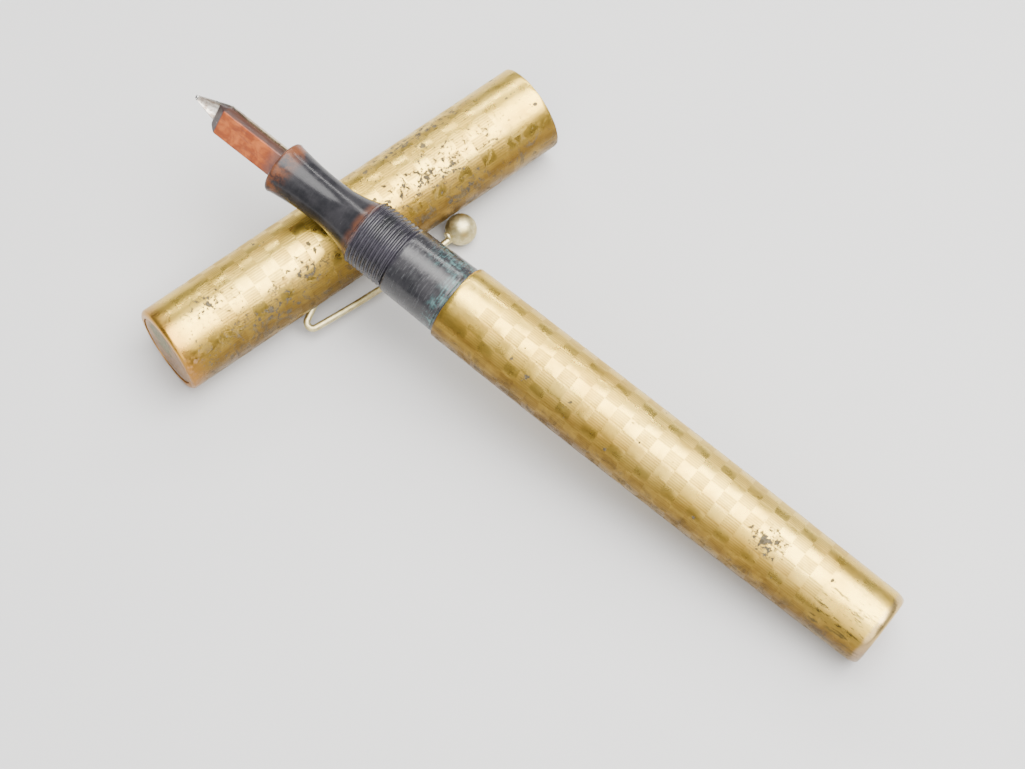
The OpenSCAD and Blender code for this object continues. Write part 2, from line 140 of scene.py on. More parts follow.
def local_frame(end_mount, depth, side_axis):
    """The frame whose Z runs inwards from an end mount, depth mm inside it, and whose Y is side_axis."""
    pos, out = mount(end_mount)
    z = -out.normalized()
    y = (side_axis - side_axis.dot(z) * z).normalized()
    m = Matrix((y.cross(z), y, z)).transposed().to_4x4()
    m.translation = pos - z * depth * MM
    return m


PEN = local_frame("barrel_end", END_DISC_SINK, joint_axis("lever_swing"))
CAP = local_frame("cap_end", 0.08, joint_axis("clip_flex"))
NIB = PEN @ Matrix.Rotation(NIB_TURN, 4, "Z")


# ---------------------------------------------------------------- mesh building

def smooth(t):
    """0 to 1 as t goes from 0 to 1, easing in and out."""
    t = min(max(t, 0.0), 1.0)
    return t * t * (3 - 2 * t)


def polar(r, degrees, z):
    """A point at a radius and angle about Z."""
    a = math.radians(degrees)
    return (r * math.cos(a), r * math.sin(a), z)


def add_object(name, data):
    obj = bpy.data.objects.new(name, data)
    bpy.context.scene.collection.objects.link(obj)
    return obj


def new_object(name, points, faces, place, closed=True):
    """A mesh object from millimetre points in a local frame, with its faces turned outwards.

    An open sheet that curves about Z has closed=False.
    """
    mesh = bpy.data.meshes.new(name)
    mesh.from_pydata([tuple(v * MM for v in point) for point in points], [], faces)
    bm = bmesh.new()
    bm.from_mesh(mesh)
    if closed:
        bmesh.ops.recalc_face_normals(bm, faces=bm.faces)
    else:
        for face in bm.faces:
            middle = face.calc_center_median()
            if face.normal.dot(Vector((middle.x, middle.y, 0))) < 0:
                face.normal_flip()
    bm.to_mesh(mesh)
    bm.free()
    obj = add_object(name, mesh)
    obj.matrix_world = place
    return obj


def shade(obj, sharp):
    """Smooth shading, with edges over that many degrees kept sharp."""
    obj.data.shade_smooth()
    obj.data.set_sharp_from_angle(angle=math.radians(sharp))


def make_piece(name, shape, place, body, mat, nodes, sharp=40, closed=True):
    """A piece that rides on a body and stands for CAD nodes. With no body, it is left unattached and its CAD
    nodes are not hidden.
    """
    obj = new_object(name, *shape, place, closed)
    shade(obj, sharp)
    bpy.context.view_layer.update()
    obj.data.materials.append(mat)
    if body:
        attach(obj, body)
        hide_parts(*nodes)
    return obj


def skin(rings, loop=False, hole=None):
    """Verts and faces through rings of points with equal counts. A ring of one point is a pole.

    With loop the last ring joins the first. hole = (half columns, (a, b), (c, d)) opens a slot through
    the outer rows a to b and the inner rows c to d, about column 0, with flat walls between them.
    """
    verts, starts = [], []
    for ring in rings:
        starts.append(len(verts))
        verts.extend(ring)
    n = max(len(r) for r in rings)
    faces = []

    def at(row, col):
        return starts[row] + (col % n if len(rings[row]) > 1 else 0)

    pairs = [(i, i + 1) for i in range(len(rings) - 1)]
    if loop:
        pairs.append((len(rings) - 1, 0))
    for a, b in pairs:
        open_row = hole and (hole[1][0] <= a < hole[1][1] or hole[2][0] <= a < hole[2][1])
        for c in range(n):
            if open_row and (c < hole[0] or c >= n - hole[0]):
                continue
            quad = [at(a, c), at(a, c + 1), at(b, c + 1), at(b, c)]
            face = list(dict.fromkeys(quad))
            if len(face) > 2:
                faces.append(face)
    if hole:
        half, (a, b), (c, d) = hole
        for side in (-half, half):
            faces.append([at(r, side) for r in range(a, b + 1)] + [at(r, side) for r in range(c, d + 1)])
        for outer, inner in ((a, d), (b, c)):
            faces.append([at(outer, k) for k in range(-half, half + 1)]
                         + [at(inner, k) for k in range(half, -half - 1, -1)])
    if not loop:
        for i, row in ((0, rings[0]), (len(rings) - 1, rings[-1])):
            if len(row) > 1:
                faces.append([at(i, c) for c in range(n)])
    return verts, faces


def circle_ring(r, z, cols, radius=None, angle=None):
    """One ring about Z. radius(r, z, angle, column) and angle(column angle, r, z) bend it."""
    if r <= 0:
        return [(0.0, 0.0, z)]
    ring = []
    for c in range(cols):
        a = TAU * c / cols
        rr = radius(r, z, a, c) if radius else r
        aa = angle(a, r, z) if angle else a
        ring.append((rr * math.cos(aa), rr * math.sin(aa), z))
    return ring


def lathe(profile, cols, loop=True, radius=None, angle=None, hole=None):
    """Verts and faces of a profile of (radius, height) points turned about Z."""
    return skin([circle_ring(r, z, cols, radius, angle) for r, z in profile], loop, hole)


def arc(r0, z0, r1, z1, bulge_r, bulge_z, steps):
    """Quarter-ellipse points from (r0, z0) to (r1, z1), leaving along the bulge corner."""
    pts = []
    for i in range(steps + 1):
        t = math.pi / 2 * i / steps
        s, c = math.sin(t), math.cos(t)
        pts.append((bulge_r + (r0 - bulge_r) * (1 - s) + (r1 - bulge_r) * (1 - c),
                    bulge_z + (z0 - bulge_z) * (1 - s) + (z1 - bulge_z) * (1 - c)))
    return pts


def ring_about(centre, r, x, y, cols):
    """A circle of points about a point, in the plane of two unit vectors."""
    ring = []
    for c in range(cols):
        a = TAU * c / cols
        ring.append(tuple(centre + r * (math.cos(a) * x + math.sin(a) * y)))
    return ring


def evaluated_mesh(obj):
    """The piece's mesh with its modifiers applied."""
    return bpy.data.meshes.new_from_object(obj.evaluated_get(bpy.context.evaluated_depsgraph_get()))


def subtract(obj, cutter):
    """Cuts a helper mesh out of a piece and removes the helper."""
    mod = obj.modifiers.new("cut", "BOOLEAN")
    mod.object, mod.operation, mod.solver = cutter, "DIFFERENCE", "EXACT"
    bpy.context.view_layer.update()
    cut = evaluated_mesh(obj)
    obj.modifiers.remove(mod)
    obj.data = cut
    bpy.data.objects.remove(cutter)


def rod(name, start, end, r, place):
    """A plain helper cylinder, used only to cut a hole."""
    a, b = Vector(start), Vector(end)
    z = (b - a).normalized()
    x = z.orthogonal().normalized()
    y = z.cross(x)
    return new_object(name, *skin([ring_about(p, r, x, y, 40) for p in (a, b)]), place)


def drill_clip_hole(obj, inward):
    """Drills the slanting hole of the clip's root, from outside the cap inwards."""
    end = (ROOT_X - inward * math.sin(ROOT_SLOPE), 0.0, ROOT_Z + inward * math.cos(ROOT_SLOPE))
    subtract(obj, rod("cut_root", (ROOT_X, 0.0, ROOT_Z), end, WIRE_HOLE_R, CAP))


# ---------------------------------------------------------------- shader building

class Shade:
    """A node material, built by short calls. Lengths in it are millimetres in the piece's local frame."""

    def __init__(self, name):
        self.mat = bpy.data.materials.new(name)
        self.mat.use_nodes = True
        self.tree = self.mat.node_tree
        self.tree.nodes.clear()
        self.pos = self.vec("MULTIPLY", self.node("TexCoord").outputs["Object"], (1000, 1000, 1000))
        self.x, self.y, self.z = self.node("SeparateXYZ", self.pos).outputs
        self._angle = None

    def node(self, kind, *values, **named):
        """A shader node, with its first inputs and its named inputs filled."""
        n = self.tree.nodes.new("ShaderNode" + kind)
        for i, value in enumerate(values):
            self.put(n.inputs[i], value)
        for name, value in named.items():
            self.put(n.inputs[name.replace("_", " ")], value)
        return n

    def put(self, socket, value):
        if hasattr(value, "is_output"):
            self.tree.links.new(value, socket)
        elif isinstance(value, (tuple, list)) and len(value) == 3 and len(socket.default_value) == 4:
            socket.default_value = (*value, 1)
        else:
            socket.default_value = value

    def math(self, op, a, b=0.0):
        n = self.node("Math", a, b)
        n.operation = op
        return n.outputs[0]

    def vec(self, op, a, b=(0, 0, 0), out=0):
        n = self.node("VectorMath", a, b)
        n.operation = op
        return n.outputs[out]

    def add(self, a, b):
        return self.math("ADD", a, b)

    def scaled(self, x, y, z):
        """Coordinates scaled apart along the three axes, for streaks."""
        return self.vec("MULTIPLY", self.pos, (x, y, z))

    def join(self, x, y, z):
        return self.node("CombineXYZ", x, y, z).outputs[0]

    def angle(self):
        """Angle about Z in radians."""
        if self._angle is None:
            self._angle = self.math("ARCTAN2", self.y, self.x)
        return self._angle

    def noise(self, scale, detail=4.0, rough=0.55, at=None, warp=0.0):
        at = self.pos if at is None else at
        n = self.node("TexNoise", Vector=at, Scale=scale, Detail=detail, Roughness=rough, Distortion=warp)
        return n.outputs["Fac"]

    def cells(self, scale, at=None):
        """Voronoi distance and a random number per cell."""
        n = self.node("TexVoronoi", Vector=self.pos if at is None else at, Scale=scale)
        return n.outputs["Distance"], self.node("SeparateColor", n.outputs["Color"]).outputs[0]

    def step(self, value, low, high, to=(0.0, 1.0)):
        """value, from low to high, smoothly remapped to the range to."""
        n = self.node("MapRange", value, low, high, *to)
        n.interpolation_type = "SMOOTHSTEP"
        return n.outputs[0]

    def mix(self, fac, a, b):
        n = self.tree.nodes.new("ShaderNodeMix")
        n.data_type = "RGBA"
        for i, value in ((0, fac), (6, a), (7, b)):
            self.put(n.inputs[i], value)
        return n.outputs[2]

    def coat(self, base, value, low, high, amount, tint):
        """base, tinted up to that amount as value goes from low to high."""
        return self.mix(self.step(value, low, high, (0.0, amount)), base, tint)

    def bump(self, height, depth_mm, normal=None):
        n = self.node("Bump", Strength=1.0, Distance=depth_mm * MM, Height=height)
        if normal is not None:
            self.put(n.inputs["Normal"], normal)
        return n.outputs[0]

    def spot(self, centre, radius, wobble):
        """1 inside an irregular spot of that radius about a point, 0 outside."""
        d = self.vec("DISTANCE", self.pos, centre, out=1)
        return self.step(self.add(d, wobble), radius * 1.25, radius * 0.8)

    def nearness(self, centre, radius, stretch):
        """1 at a point, 0 at radius from it (stretch times as far along Z), and less beyond."""
        squeeze = (1.0, 1.0, 1.0 / stretch)
        squeezed_centre = tuple(c * k for c, k in zip(centre, squeeze))
        d = self.vec("DISTANCE", self.scaled(*squeeze), squeezed_centre, out=1)
        return self.math("SUBTRACT", 1.0, self.math("DIVIDE", d, radius))

    def most(self, *values):
        out = values[0]
        for v in values[1:]:
            out = self.math("MAXIMUM", out, v)
        return out

    def times(self, *values):
        out = values[0]
        for v in values[1:]:
            out = self.math("MULTIPLY", out, v)
        return out

    def between(self, value, low, high, edge):
        """1 where value lies between low and high, with soft edges."""
        after_low = self.step(value, low - edge, low + edge)
        return self.times(after_low, self.step(value, high + edge, high - edge))

    def facing(self, degrees, low, high):
        """1 on the side of the piece that faces that angle about Z, fading to 0."""
        a = math.radians(degrees)
        r = self.math("SQRT", self.add(self.times(self.x, self.x), self.times(self.y, self.y)))
        dot = self.add(self.times(self.x, math.cos(a)), self.times(self.y, math.sin(a)))
        return self.step(self.math("DIVIDE", dot, r), low, high)

    def finish(self, **sockets):
        shader = self.node("BsdfPrincipled", **sockets).outputs[0]
        self.node("OutputMaterial", shader)
        return self.mat


def turning(s, zone, cell):
    """Where the chequer is lined, and where its fine grooves are."""
    around = s.times(s.angle(), CELLS / TAU)
    along = s.math("DIVIDE", s.math("SUBTRACT", s.z, zone[0]), cell)
    count = s.add(s.math("FLOOR", around), s.math("FLOOR", along))
    always_positive = s.add(count, 1000.0)
    inside = s.times(s.math("GREATER_THAN", s.z, zone[0]), s.math("LESS_THAN", s.z, zone[1]))
    lined = s.times(inside, s.math("MODULO", always_positive, 2.0))
    line = s.math("SUBTRACT", 0.5, s.times(0.5, s.math("COSINE", s.times(around, TAU * LINES))))
    return lined, s.times(lined, line)


def flank_tarnish_and_shade(s, gold, drawn, mottle, shaded_worn_side):
    """Orange-brown tarnish on one flank, in streaks along the cover, with painted shade that darkens it most
    at its edge.
    """
    tone = s.step(s.add(s.times(drawn, 0.75), s.times(mottle, 0.25)), 0.3, 0.7, (0.7, 1.0))
    # Both layers are tarnish and painted shade; the near-black one at the flank's edge is mostly painted
    # shade
    for low, high, amount, tint in ((0.05, 0.90, 0.55, (0.36, 0.185, 0.030)),
                                    (0.40, 0.95, 0.92, (0.092, 0.048, 0.010))):
        side = s.times(s.facing(shaded_worn_side, low, high), tone)
        gold = s.mix(s.times(side, amount), gold, tint)
    return gold


def pits(s, shift, mottle, fine, pitting):
    """Pits and specks. A broad mask sets how many of the small cells are pitted."""
    crowd = s.step(s.noise(0.22, 3.0, 0.5, s.vec("ADD", shift, (3.0, 9.0, 4.0))), 0.46, 0.70, (0.0, pitting))
    ragged = s.vec("ADD", shift, s.join(s.times(mottle, 1.2), s.times(fine, 0.5), s.times(mottle, -0.9)))
    marks = []
    for scale, rarest, size, amount in ((0.8, 0.84, 0.36, 0.9), (2.4, 0.90, 0.42, 0.7)):
        distance, pick = s.cells(scale, ragged)
        reach = s.times(s.step(s.add(pick, crowd), rarest, 1.25), size)
        marks.append(s.times(s.math("LESS_THAN", distance, reach), amount))
    return s.most(*marks)


def turned_gold(name, zone, cell, seed, shaded_worn_side, smear_side, clusters, pitting, bite, end_wear_and_glint):
    """Engine-turned gold cover: chequer of polished and lined cells, worn, tarnished and pitted, with painted
    shade on one flank.

    clusters are the places (centre, radius, stretch) where the metal is eaten, bite is how deeply, and
    the last argument, called with (shade, mottle, colour), adds the wear of the cover's own closed end, and
    on the barrel a painted glint round its rim.
    """
    s = Shade(name)
    shift = s.vec("ADD", s.pos, (seed, seed * 2.3, seed * 0.7))
    lined, groove = turning(s, zone, cell)
    broad = s.noise(0.12, 5.0, 0.6, shift)
    mottle = s.noise(0.55, 6.0, 0.62, shift, 0.6)
    fine = s.noise(4.0, 4.0, 0.6, shift)
    scratch = s.noise(1.0, 5.0, 0.7, s.scaled(3.0, 3.0, 0.5))
    drawn = s.noise(0.5, 6.0, 0.6, s.scaled(1.0, 1.0, 0.16), 0.3)

    gold = s.mix(s.step(broad, 0.35, 0.65), (0.76, 0.51, 0.080), (0.86, 0.61, 0.125))
    streaks = s.add(s.times(drawn, 0.7), s.times(mottle, 0.3))
    gold = s.coat(gold, streaks, 0.42, 0.70, 0.45, (0.50, 0.28, 0.045))
    gold = s.mix(s.times(groove, 0.36), gold, (0.22, 0.125, 0.03))
    # Tarnish and painted shade on one flank
    gold = flank_tarnish_and_shade(s, gold, drawn, mottle, shaded_worn_side)

    close = s.most(*[s.nearness(*cluster) for cluster in clusters])
    eaten = s.add(s.noise(1.5, 7.0, 0.60, shift, 0.3), s.times(close, bite))
    gold = s.mix(s.times(s.step(eaten, 0.54, 0.66), 0.5), gold, (0.20, 0.135, 0.055))
    smear = s.times(s.facing(shaded_worn_side, *smear_side), s.step(s.noise(0.35, 7.0, 0.8, shift, 1.4), 0.50, 0.60))
    dark = s.most(pits(s, shift, mottle, fine, pitting), s.times(smear, 0.75),
                  s.times(s.step(eaten, 0.64, 0.68), 0.92))
    black = s.mix(s.step(fine, 0.4, 0.6), (0.022, 0.020, 0.014), (0.075, 0.062, 0.040))
    gold = end_wear_and_glint(s, mottle, s.mix(dark, gold, black))

    rough = s.add(s.step(mottle, 0.3, 0.8, (0.25, 0.38)), s.times(lined, 0.15))
    rough = s.add(rough, s.step(scratch, 0.5, 0.8, (0.0, 0.12)))
    rough = s.add(rough, s.times(dark, 0.5))
    normal = s.bump(broad, 0.10)
    normal = s.bump(mottle, 0.008, normal)
    normal = s.bump(s.add(s.times(fine, 0.35), scratch), 0.006, normal)
    normal = s.bump(s.math("SUBTRACT", 1.0, dark), 0.03, normal)
    metal = s.step(dark, 0.2, 0.9, (1.0, 0.0))
    return s.finish(Base_Color=gold, Metallic=metal, Roughness=rough, Normal=normal)


def coppery_end(s, mottle, gold):
    """The cap's closed end has turned coppery round its rim."""
    near_rim = s.step(s.add(s.z, s.times(mottle, 2.0)), 4.6, 0.9, (0.0, 0.75))
    return s.mix(near_rim, gold, (0.42, 0.19, 0.035))


def rubbed_end_and_glint(s, mottle, gold):
    """The barrel's end is paler round its rim, partly rubbed metal and partly a painted glint, and scratched
    across its plain band.
    """
    # Pale rim: rubbed metal and a painted glint
    gold = s.coat(gold, s.add(s.z, mottle), 2.0, 1.3, 0.5, (0.50, 0.37, 0.26))
    band = s.times(s.between(s.z, 1.0, 9.0, 1.0), s.facing(SHADED_WORN_SIDE + 46, 0.35, 0.9))
    cut = s.step(s.noise(0.8, 5.0, 0.75, s.scaled(2.2, 2.2, 0.45)), 0.53, 0.60)
    return s.mix(s.times(band, cut, 0.9), gold, (0.07, 0.055, 0.022))


def cap_gold():
    """The cap's gold, eaten mostly along the side that lies uppermost."""
    clusters = [(polar(CAP_R, -95, 43.0), 3.4, 4.0), (polar(CAP_R, -62, 14.0), 2.6, 3.4),
                (polar(CAP_R, -112, 7.0), 2.6, 1.8), (polar(CAP_R, -78, 21.0), 2.3, 2.2),
                (polar(CAP_R, -152, 44.0), 2.4, 5.0), (polar(CAP_R, -48, 47.0), 1.7, 3.0)]
    return turned_gold("gold_cover_cap", CAP_TURNING, CAP_CELL, 11.0, CAP_SHADED_WORN_SIDE, (0.25, 0.90),
                       clusters, 0.34, 0.13, coppery_end)


def barrel_gold():
    """The barrel's gold, with one group of pits near its closed end."""
    clusters = [(polar(5.6, VIEW_SIDE + 2, 18.4), 2.5, 1.35), (polar(5.6, VIEW_SIDE - 24, 56.0), 0.8, 1.0),
                (polar(5.6, VIEW_SIDE + 18, 41.0), 0.7, 1.0)]
    return turned_gold("gold_cover_barrel", BARREL_TURNING, BARREL_CELL, 37.0, SHADED_WORN_SIDE, (0.75, 1.1),
                       clusters, 0.12, 0.23, rubbed_end_and_glint)


def plain_gold(name):
    """Worn plain gold, for the lever."""
    s = Shade(name)
    broad, mottle = s.noise(0.3, 4.0), s.noise(1.4, 6.0, 0.65, None, 0.5)
    scratch = s.noise(1.0, 5.0, 0.7, s.scaled(6.0, 6.0, 0.8))
    gold = s.mix(s.step(broad, 0.35, 0.65), (0.74, 0.49, 0.075), (0.84, 0.59, 0.12))
    gold = s.coat(gold, mottle, 0.5, 0.72, 0.5, (0.40, 0.22, 0.045))
    rough = s.add(s.step(mottle, 0.3, 0.8, (0.18, 0.42)), s.step(scratch, 0.5, 0.8, (0.0, 0.12)))
    normal = s.bump(s.add(mottle, s.times(scratch, 0.6)), 0.012)
    return s.finish(Base_Color=gold, Metallic=1.0, Roughness=rough, Normal=normal)


def tarnished_bronze(name, green, verdigris_at=None):
    """Brown bronze with rough patches of verdigris, and a green crust at verdigris_at, (centre, radius)."""
    s = Shade(name)
    mottle = s.noise(0.5, 6.0, 0.65, None, 0.8)
    fine = s.noise(3.5, 5.0, 0.65)
    base = s.mix(s.step(mottle, 0.35, 0.65), (0.22, 0.105, 0.028), (0.36, 0.19, 0.055))
    base = s.coat(base, fine, 0.5, 0.75, 0.6, (0.12, 0.06, 0.02))
    elsewhere = s.vec("ADD", s.pos, (7.1, 3.3, 0.0))
    patch = s.step(s.noise(0.32, 5.0, 0.6, elsewhere), 0.56, 0.66)
    if verdigris_at:
        spot = s.spot(*verdigris_at, s.times(s.math("SUBTRACT", mottle, 0.5), 5.0))
        crust = s.times(spot, s.step(fine, 0.36, 0.58, (0.25, 1.0)))
        patch = s.most(s.times(patch, 0.6), crust)
    base = s.mix(s.times(patch, green), base, s.mix(fine, (0.075, 0.115, 0.065), (0.19, 0.23, 0.13)))
    rough = s.add(s.step(fine, 0.3, 0.8, (0.30, 0.50)), s.times(patch, 0.2))
    metal = s.step(patch, 0.0, 1.0, (0.95, 0.45))
    normal = s.bump(s.add(mottle, s.times(fine, 0.5)), 0.02)
    return s.finish(Base_Color=base, Metallic=metal, Roughness=rough, Normal=normal)


def clip_metal(name):
    """Pale worn gilt of the clip wire and its ball, brassier where it has rubbed through, and pitted."""
    s = Shade(name)
    mottle = s.noise(0.9, 6.0, 0.65, None, 0.6)
    fine = s.noise(6.0, 4.0, 0.6)
    base = s.mix(s.step(mottle, 0.38, 0.62), (0.54, 0.45, 0.21), (0.72, 0.64, 0.37))
    base = s.coat(base, s.noise(0.45, 4.0), 0.55, 0.72, 0.6, (0.36, 0.26, 0.11))
    dist, pick = s.cells(1.3)
    pit = s.math("LESS_THAN", dist, s.step(pick, 0.7, 1.0, (0.0, 0.2)))
    base = s.mix(s.times(pit, 0.8), base, (0.10, 0.08, 0.05))
    rough = s.add(s.step(mottle, 0.3, 0.8, (0.40, 0.56)), s.times(pit, 0.3))
    normal = s.bump(s.add(mottle, s.times(fine, 0.3)), 0.02)
    return s.finish(Base_Color=base, Metallic=1.0, Roughness=rough, Normal=normal)


def hard_rubber(name, verdigris=None, brown=None, purple=None, grey=0.0, relief=0.012, shine=0.5):
    """Black hard rubber with lathe marks, worn grey, oxidised brown in places and green at the cover.

    verdigris and purple are ranges of Z, and brown is a list of (low, high, edge, amount).
    """
    s = Shade(name)
    turned = s.join(s.times(s.angle(), 0.8), s.times(s.z, 9.0), 0.0)
    lathe_marks = s.noise(1.0, 5.0, 0.7, turned)
    rubbed = s.join(s.times(s.angle(), 3.0), s.times(s.z, 4.5), s.times(s.x, 0.1))
    scuffs = s.noise(0.9, 5.0, 0.7, rubbed, 0.5)
    cloud = s.noise(0.35, 5.0, 0.6)
    fine = s.noise(5.0, 4.0, 0.6)
    base = s.mix(s.step(cloud, 0.35, 0.65), (0.012, 0.012, 0.014), (0.024, 0.023, 0.026))
    if grey:
        base = s.mix(s.step(scuffs, 0.50, 0.74, (0.0, grey)), base, (0.12, 0.125, 0.13))
    if purple:
        zone = s.between(s.z, purple[0], purple[1], 0.5)
        base = s.mix(s.times(zone, s.step(cloud, 0.3, 0.6), 0.5), base, (0.022, 0.018, 0.030))
    for low, high, edge, amount in brown or ():
        zone = s.times(s.between(s.z, low, high, edge), s.step(s.noise(0.5, 5.0, 0.65), 0.36, 0.60))
        base = s.mix(s.times(zone, amount), base, s.mix(fine, (0.085, 0.028, 0.012), (0.20, 0.07, 0.028)))
    if verdigris:
        near = s.between(s.z, verdigris[0], verdigris[1], 0.9)
        far = s.times(s.between(s.z, verdigris[0], verdigris[1] + 4.0, 1.6), s.facing(-38, 0.35, 0.9))
        crust = s.add(s.times(s.noise(0.8, 6.0, 0.7), 0.6), s.times(lathe_marks, 0.4))
        zone = s.times(s.most(near, far), s.step(crust, 0.48, 0.60))
        base = s.mix(s.times(zone, 0.75), base, (0.09, 0.20, 0.20))
    scuffed = s.step(scuffs, 0.45, 0.75, (0.0, relief * 12))
    rough = s.add(s.step(cloud, 0.3, 0.7, (0.15, 0.25)), scuffed)
    normal = s.bump(lathe_marks, relief)
    normal = s.bump(s.add(scuffs, s.times(fine, 0.4)), relief, normal)
    return s.finish(Base_Color=base, Roughness=rough, Normal=normal, Specular_IOR_Level=shine)


def feed_rubber(name):
    """Hard rubber stained orange-brown by ink and flecked, with painted shade on the round of it off the flat
    and on its sloping front.
    """
    s = Shade(name)
    cloud, fine = s.noise(0.6, 5.0, 0.6, None, 0.5), s.noise(4.0, 5.0, 0.65)
    streak = s.noise(1.0, 5.0, 0.7, s.scaled(2.0, 3.0, 0.5))
    base = s.mix(s.step(cloud, 0.35, 0.65), (0.23, 0.052, 0.016), (0.42, 0.115, 0.030))
    base = s.coat(base, streak, 0.48, 0.72, 0.7, (0.14, 0.045, 0.03))
    base = s.coat(base, s.z, 103.4, 101.2, 0.75, (0.12, 0.085, 0.085))
    # Painted shade on the sloping front
    nose = FEED_Z[1] - FEED_CHAMFER
    base = s.mix(s.step(s.z, nose - 0.15, nose + 0.1, (0.0, 0.95)), base, (0.035, 0.016, 0.024))
    # Painted shade on the round side, everywhere but the flat
    side = s.times(s.step(s.x, -1.12, -0.95), 0.93)
    base = s.mix(side, base, (0.030, 0.014, 0.011))
    dist, pick = s.cells(2.2)
    fleck = s.math("LESS_THAN", dist, s.step(pick, 0.78, 1.0, (0.0, 0.22)))
    base = s.mix(s.times(fleck, 0.6), base, (0.62, 0.40, 0.28))
    rough = s.step(fine, 0.3, 0.7, (0.32, 0.48))
    normal = s.bump(s.add(streak, s.times(fine, 0.5)), 0.02)
    return s.finish(Base_Color=base, Roughness=rough, Normal=normal, Specular_IOR_Level=0.35)


def nib_metal(name):
    """Worn nib: silvery gold with brown ink stains, cleaner towards the tines."""
    s = Shade(name)
    cloud = s.noise(0.6, 5.0, 0.65, None, 0.7)
    brush = s.noise(1.0, 4.0, 0.7, s.scaled(7.0, 7.0, 0.6))
    base = s.mix(s.step(s.z, 107.0, 112.5), (0.62, 0.50, 0.32), (0.60, 0.56, 0.50))
    base = s.coat(base, cloud, 0.44, 0.62, 0.8, (0.22, 0.15, 0.11))
    rough = s.add(s.step(cloud, 0.3, 0.7, (0.18, 0.38)), s.times(brush, 0.08))
    normal = s.bump(s.add(s.times(cloud, 0.6), s.times(brush, 0.5)), 0.010)
    return s.finish(Base_Color=base, Metallic=1.0, Roughness=rough, Normal=normal)


def grey_metal(name, light, dark, rough_range):
    """Plain worked metal with faint grain and stains."""
    s = Shade(name)
    cloud, fine = s.noise(0.8, 5.0, 0.65, None, 0.5), s.noise(6.0, 4.0, 0.6)
    base = s.mix(s.step(cloud, 0.35, 0.65), dark, light)
    rough = s.step(fine, 0.3, 0.7, rough_range)
    normal = s.bump(s.add(cloud, fine), 0.008)
    return s.finish(Base_Color=base, Metallic=1.0, Roughness=rough, Normal=normal)


def sac_rubber(name):
    """Soft black-brown rubber dusted with talc."""
    s = Shade(name)
    cloud, fine = s.noise(0.5, 5.0, 0.65), s.noise(7.0, 4.0, 0.7)
    base = s.mix(s.step(cloud, 0.35, 0.65), (0.050, 0.035, 0.028), (0.085, 0.062, 0.05))
    base = s.coat(base, fine, 0.55, 0.75, 0.5, (0.26, 0.24, 0.22))
    return s.finish(Base_Color=base, Roughness=s.step(fine, 0.3, 0.7, (0.55, 0.75)),
                    Normal=s.bump(s.add(cloud, s.times(fine, 0.4)), 0.03))


# ---------------------------------------------------------------- covers

def cover_r(z):
    """The barrel cover's outer radius."""
    t = z / BARREL_LEN
    return COVER_R[0] + (COVER_R[1] - COVER_R[0]) * t + COVER_SWELL * t * (1 - t)


def cap_r(z):
    """The cap cover's outer radius."""
    return CAP_R - CAP_TAPER * (1 - z / CAP_LEN)


def turning_rows(z0, z1, turning, cell):
    """Axial rows of a cover: plain bands, and four rows to each cell so that its ends are crisp."""
    rows = [z0]
    z = z0
    while z + 0.8 < turning[0]:
        z += 0.8
        rows.append(z)
    count = round((turning[1] - turning[0]) / cell)
    for i in range(count):
        base = turning[0] + i * cell
        rows += [base, base + 0.07, base + cell / 2, base + cell - 0.07]
    rows.append(turning[1])
    z = turning[1]
    while z + 0.8 < z1:
        z += 0.8
        rows.append(z)
    rows.append(z1)
    return sorted(set(round(r, 4) for r in rows))


def turned_radius(turning, cell, seed):
    """Radius of a cover with its lined cells cut in and slight waves from handling."""
    def radius(r, z, a, c):
        wave = WAVE * noise.noise(Vector((math.cos(a) * 1.1 + seed, math.sin(a) * 1.1, z * 0.11)))
        depth = 0.0
        if turning[0] < z < turning[1] - 0.01:
            row, start = divmod(z - turning[0], cell)
            signed = c if c < COLS // 2 else c - COLS
            column = signed // (LINES * LINE_COLS)
            if start > 0.03 and (int(row) + column) % 2 == 1:
                depth = (0.0, 0.6, 1.0, 0.6)[c % LINE_COLS] * LINE_DEPTH
        return r + wave - depth
    return radius


def slot_angle(half_cols, cols):
    """Bends a cover's columns so that the slot's long edges are straight and flat."""
    edge, spread = TAU * half_cols / cols, math.radians(42)

    def angle(a, r, z):
        if not SLOT_Z[0] - 0.01 <= z <= SLOT_Z[1] + 0.01:
            return a
        signed = a if a <= math.pi else a - TAU
        size, target = abs(signed), math.asin(SLOT_HALF / r)
        if size >= spread:
            return a
        if size <= edge:
            bent = size * target / edge
        else:
            bent = target + (size - edge) * (spread - target) / (spread - edge)
        return math.copysign(bent, signed)
    return angle


def build_cap_cover(mat):
    outer = arc(cap_r(0) - CAP_EDGE, 0.0, cap_r(CAP_EDGE), CAP_EDGE, cap_r(0), 0.0, 6)
    rows = turning_rows(CAP_EDGE, CAP_LEN - MOUTH_LIP, CAP_TURNING, CAP_CELL)
    profile = [(CROWN_R + 0.05, 0.0)] + outer[:-1]
    profile += [(cap_r(z), z) for z in rows]
    profile += [(CAP_R - 0.03, CAP_LEN - 0.03), (CAP_R - MOUTH_LIP, CAP_LEN), (CAP_BORE + 0.03, CAP_LEN),
                (CAP_BORE, CAP_LEN - 0.04)]
    profile += [(CAP_BORE, z) for z in (46.0, 30.0, 14.0, CAP_END_WALL)] + [(CROWN_R + 0.05, CAP_END_WALL)]
    waves = turned_radius(CAP_TURNING, CAP_CELL, 3.1)

    def radius(r, z, a, c):
        return waves(r, z, a, c) if r > CAP_BORE + 0.1 and z > CAP_EDGE - 0.01 else r

    shape = lathe(profile, COLS, radius=radius)
    obj = make_piece("cap_cover", shape, CAP, "cap", mat, ["cap_shell"], sharp=50)
    drill_clip_hole(obj, inward=3.0)


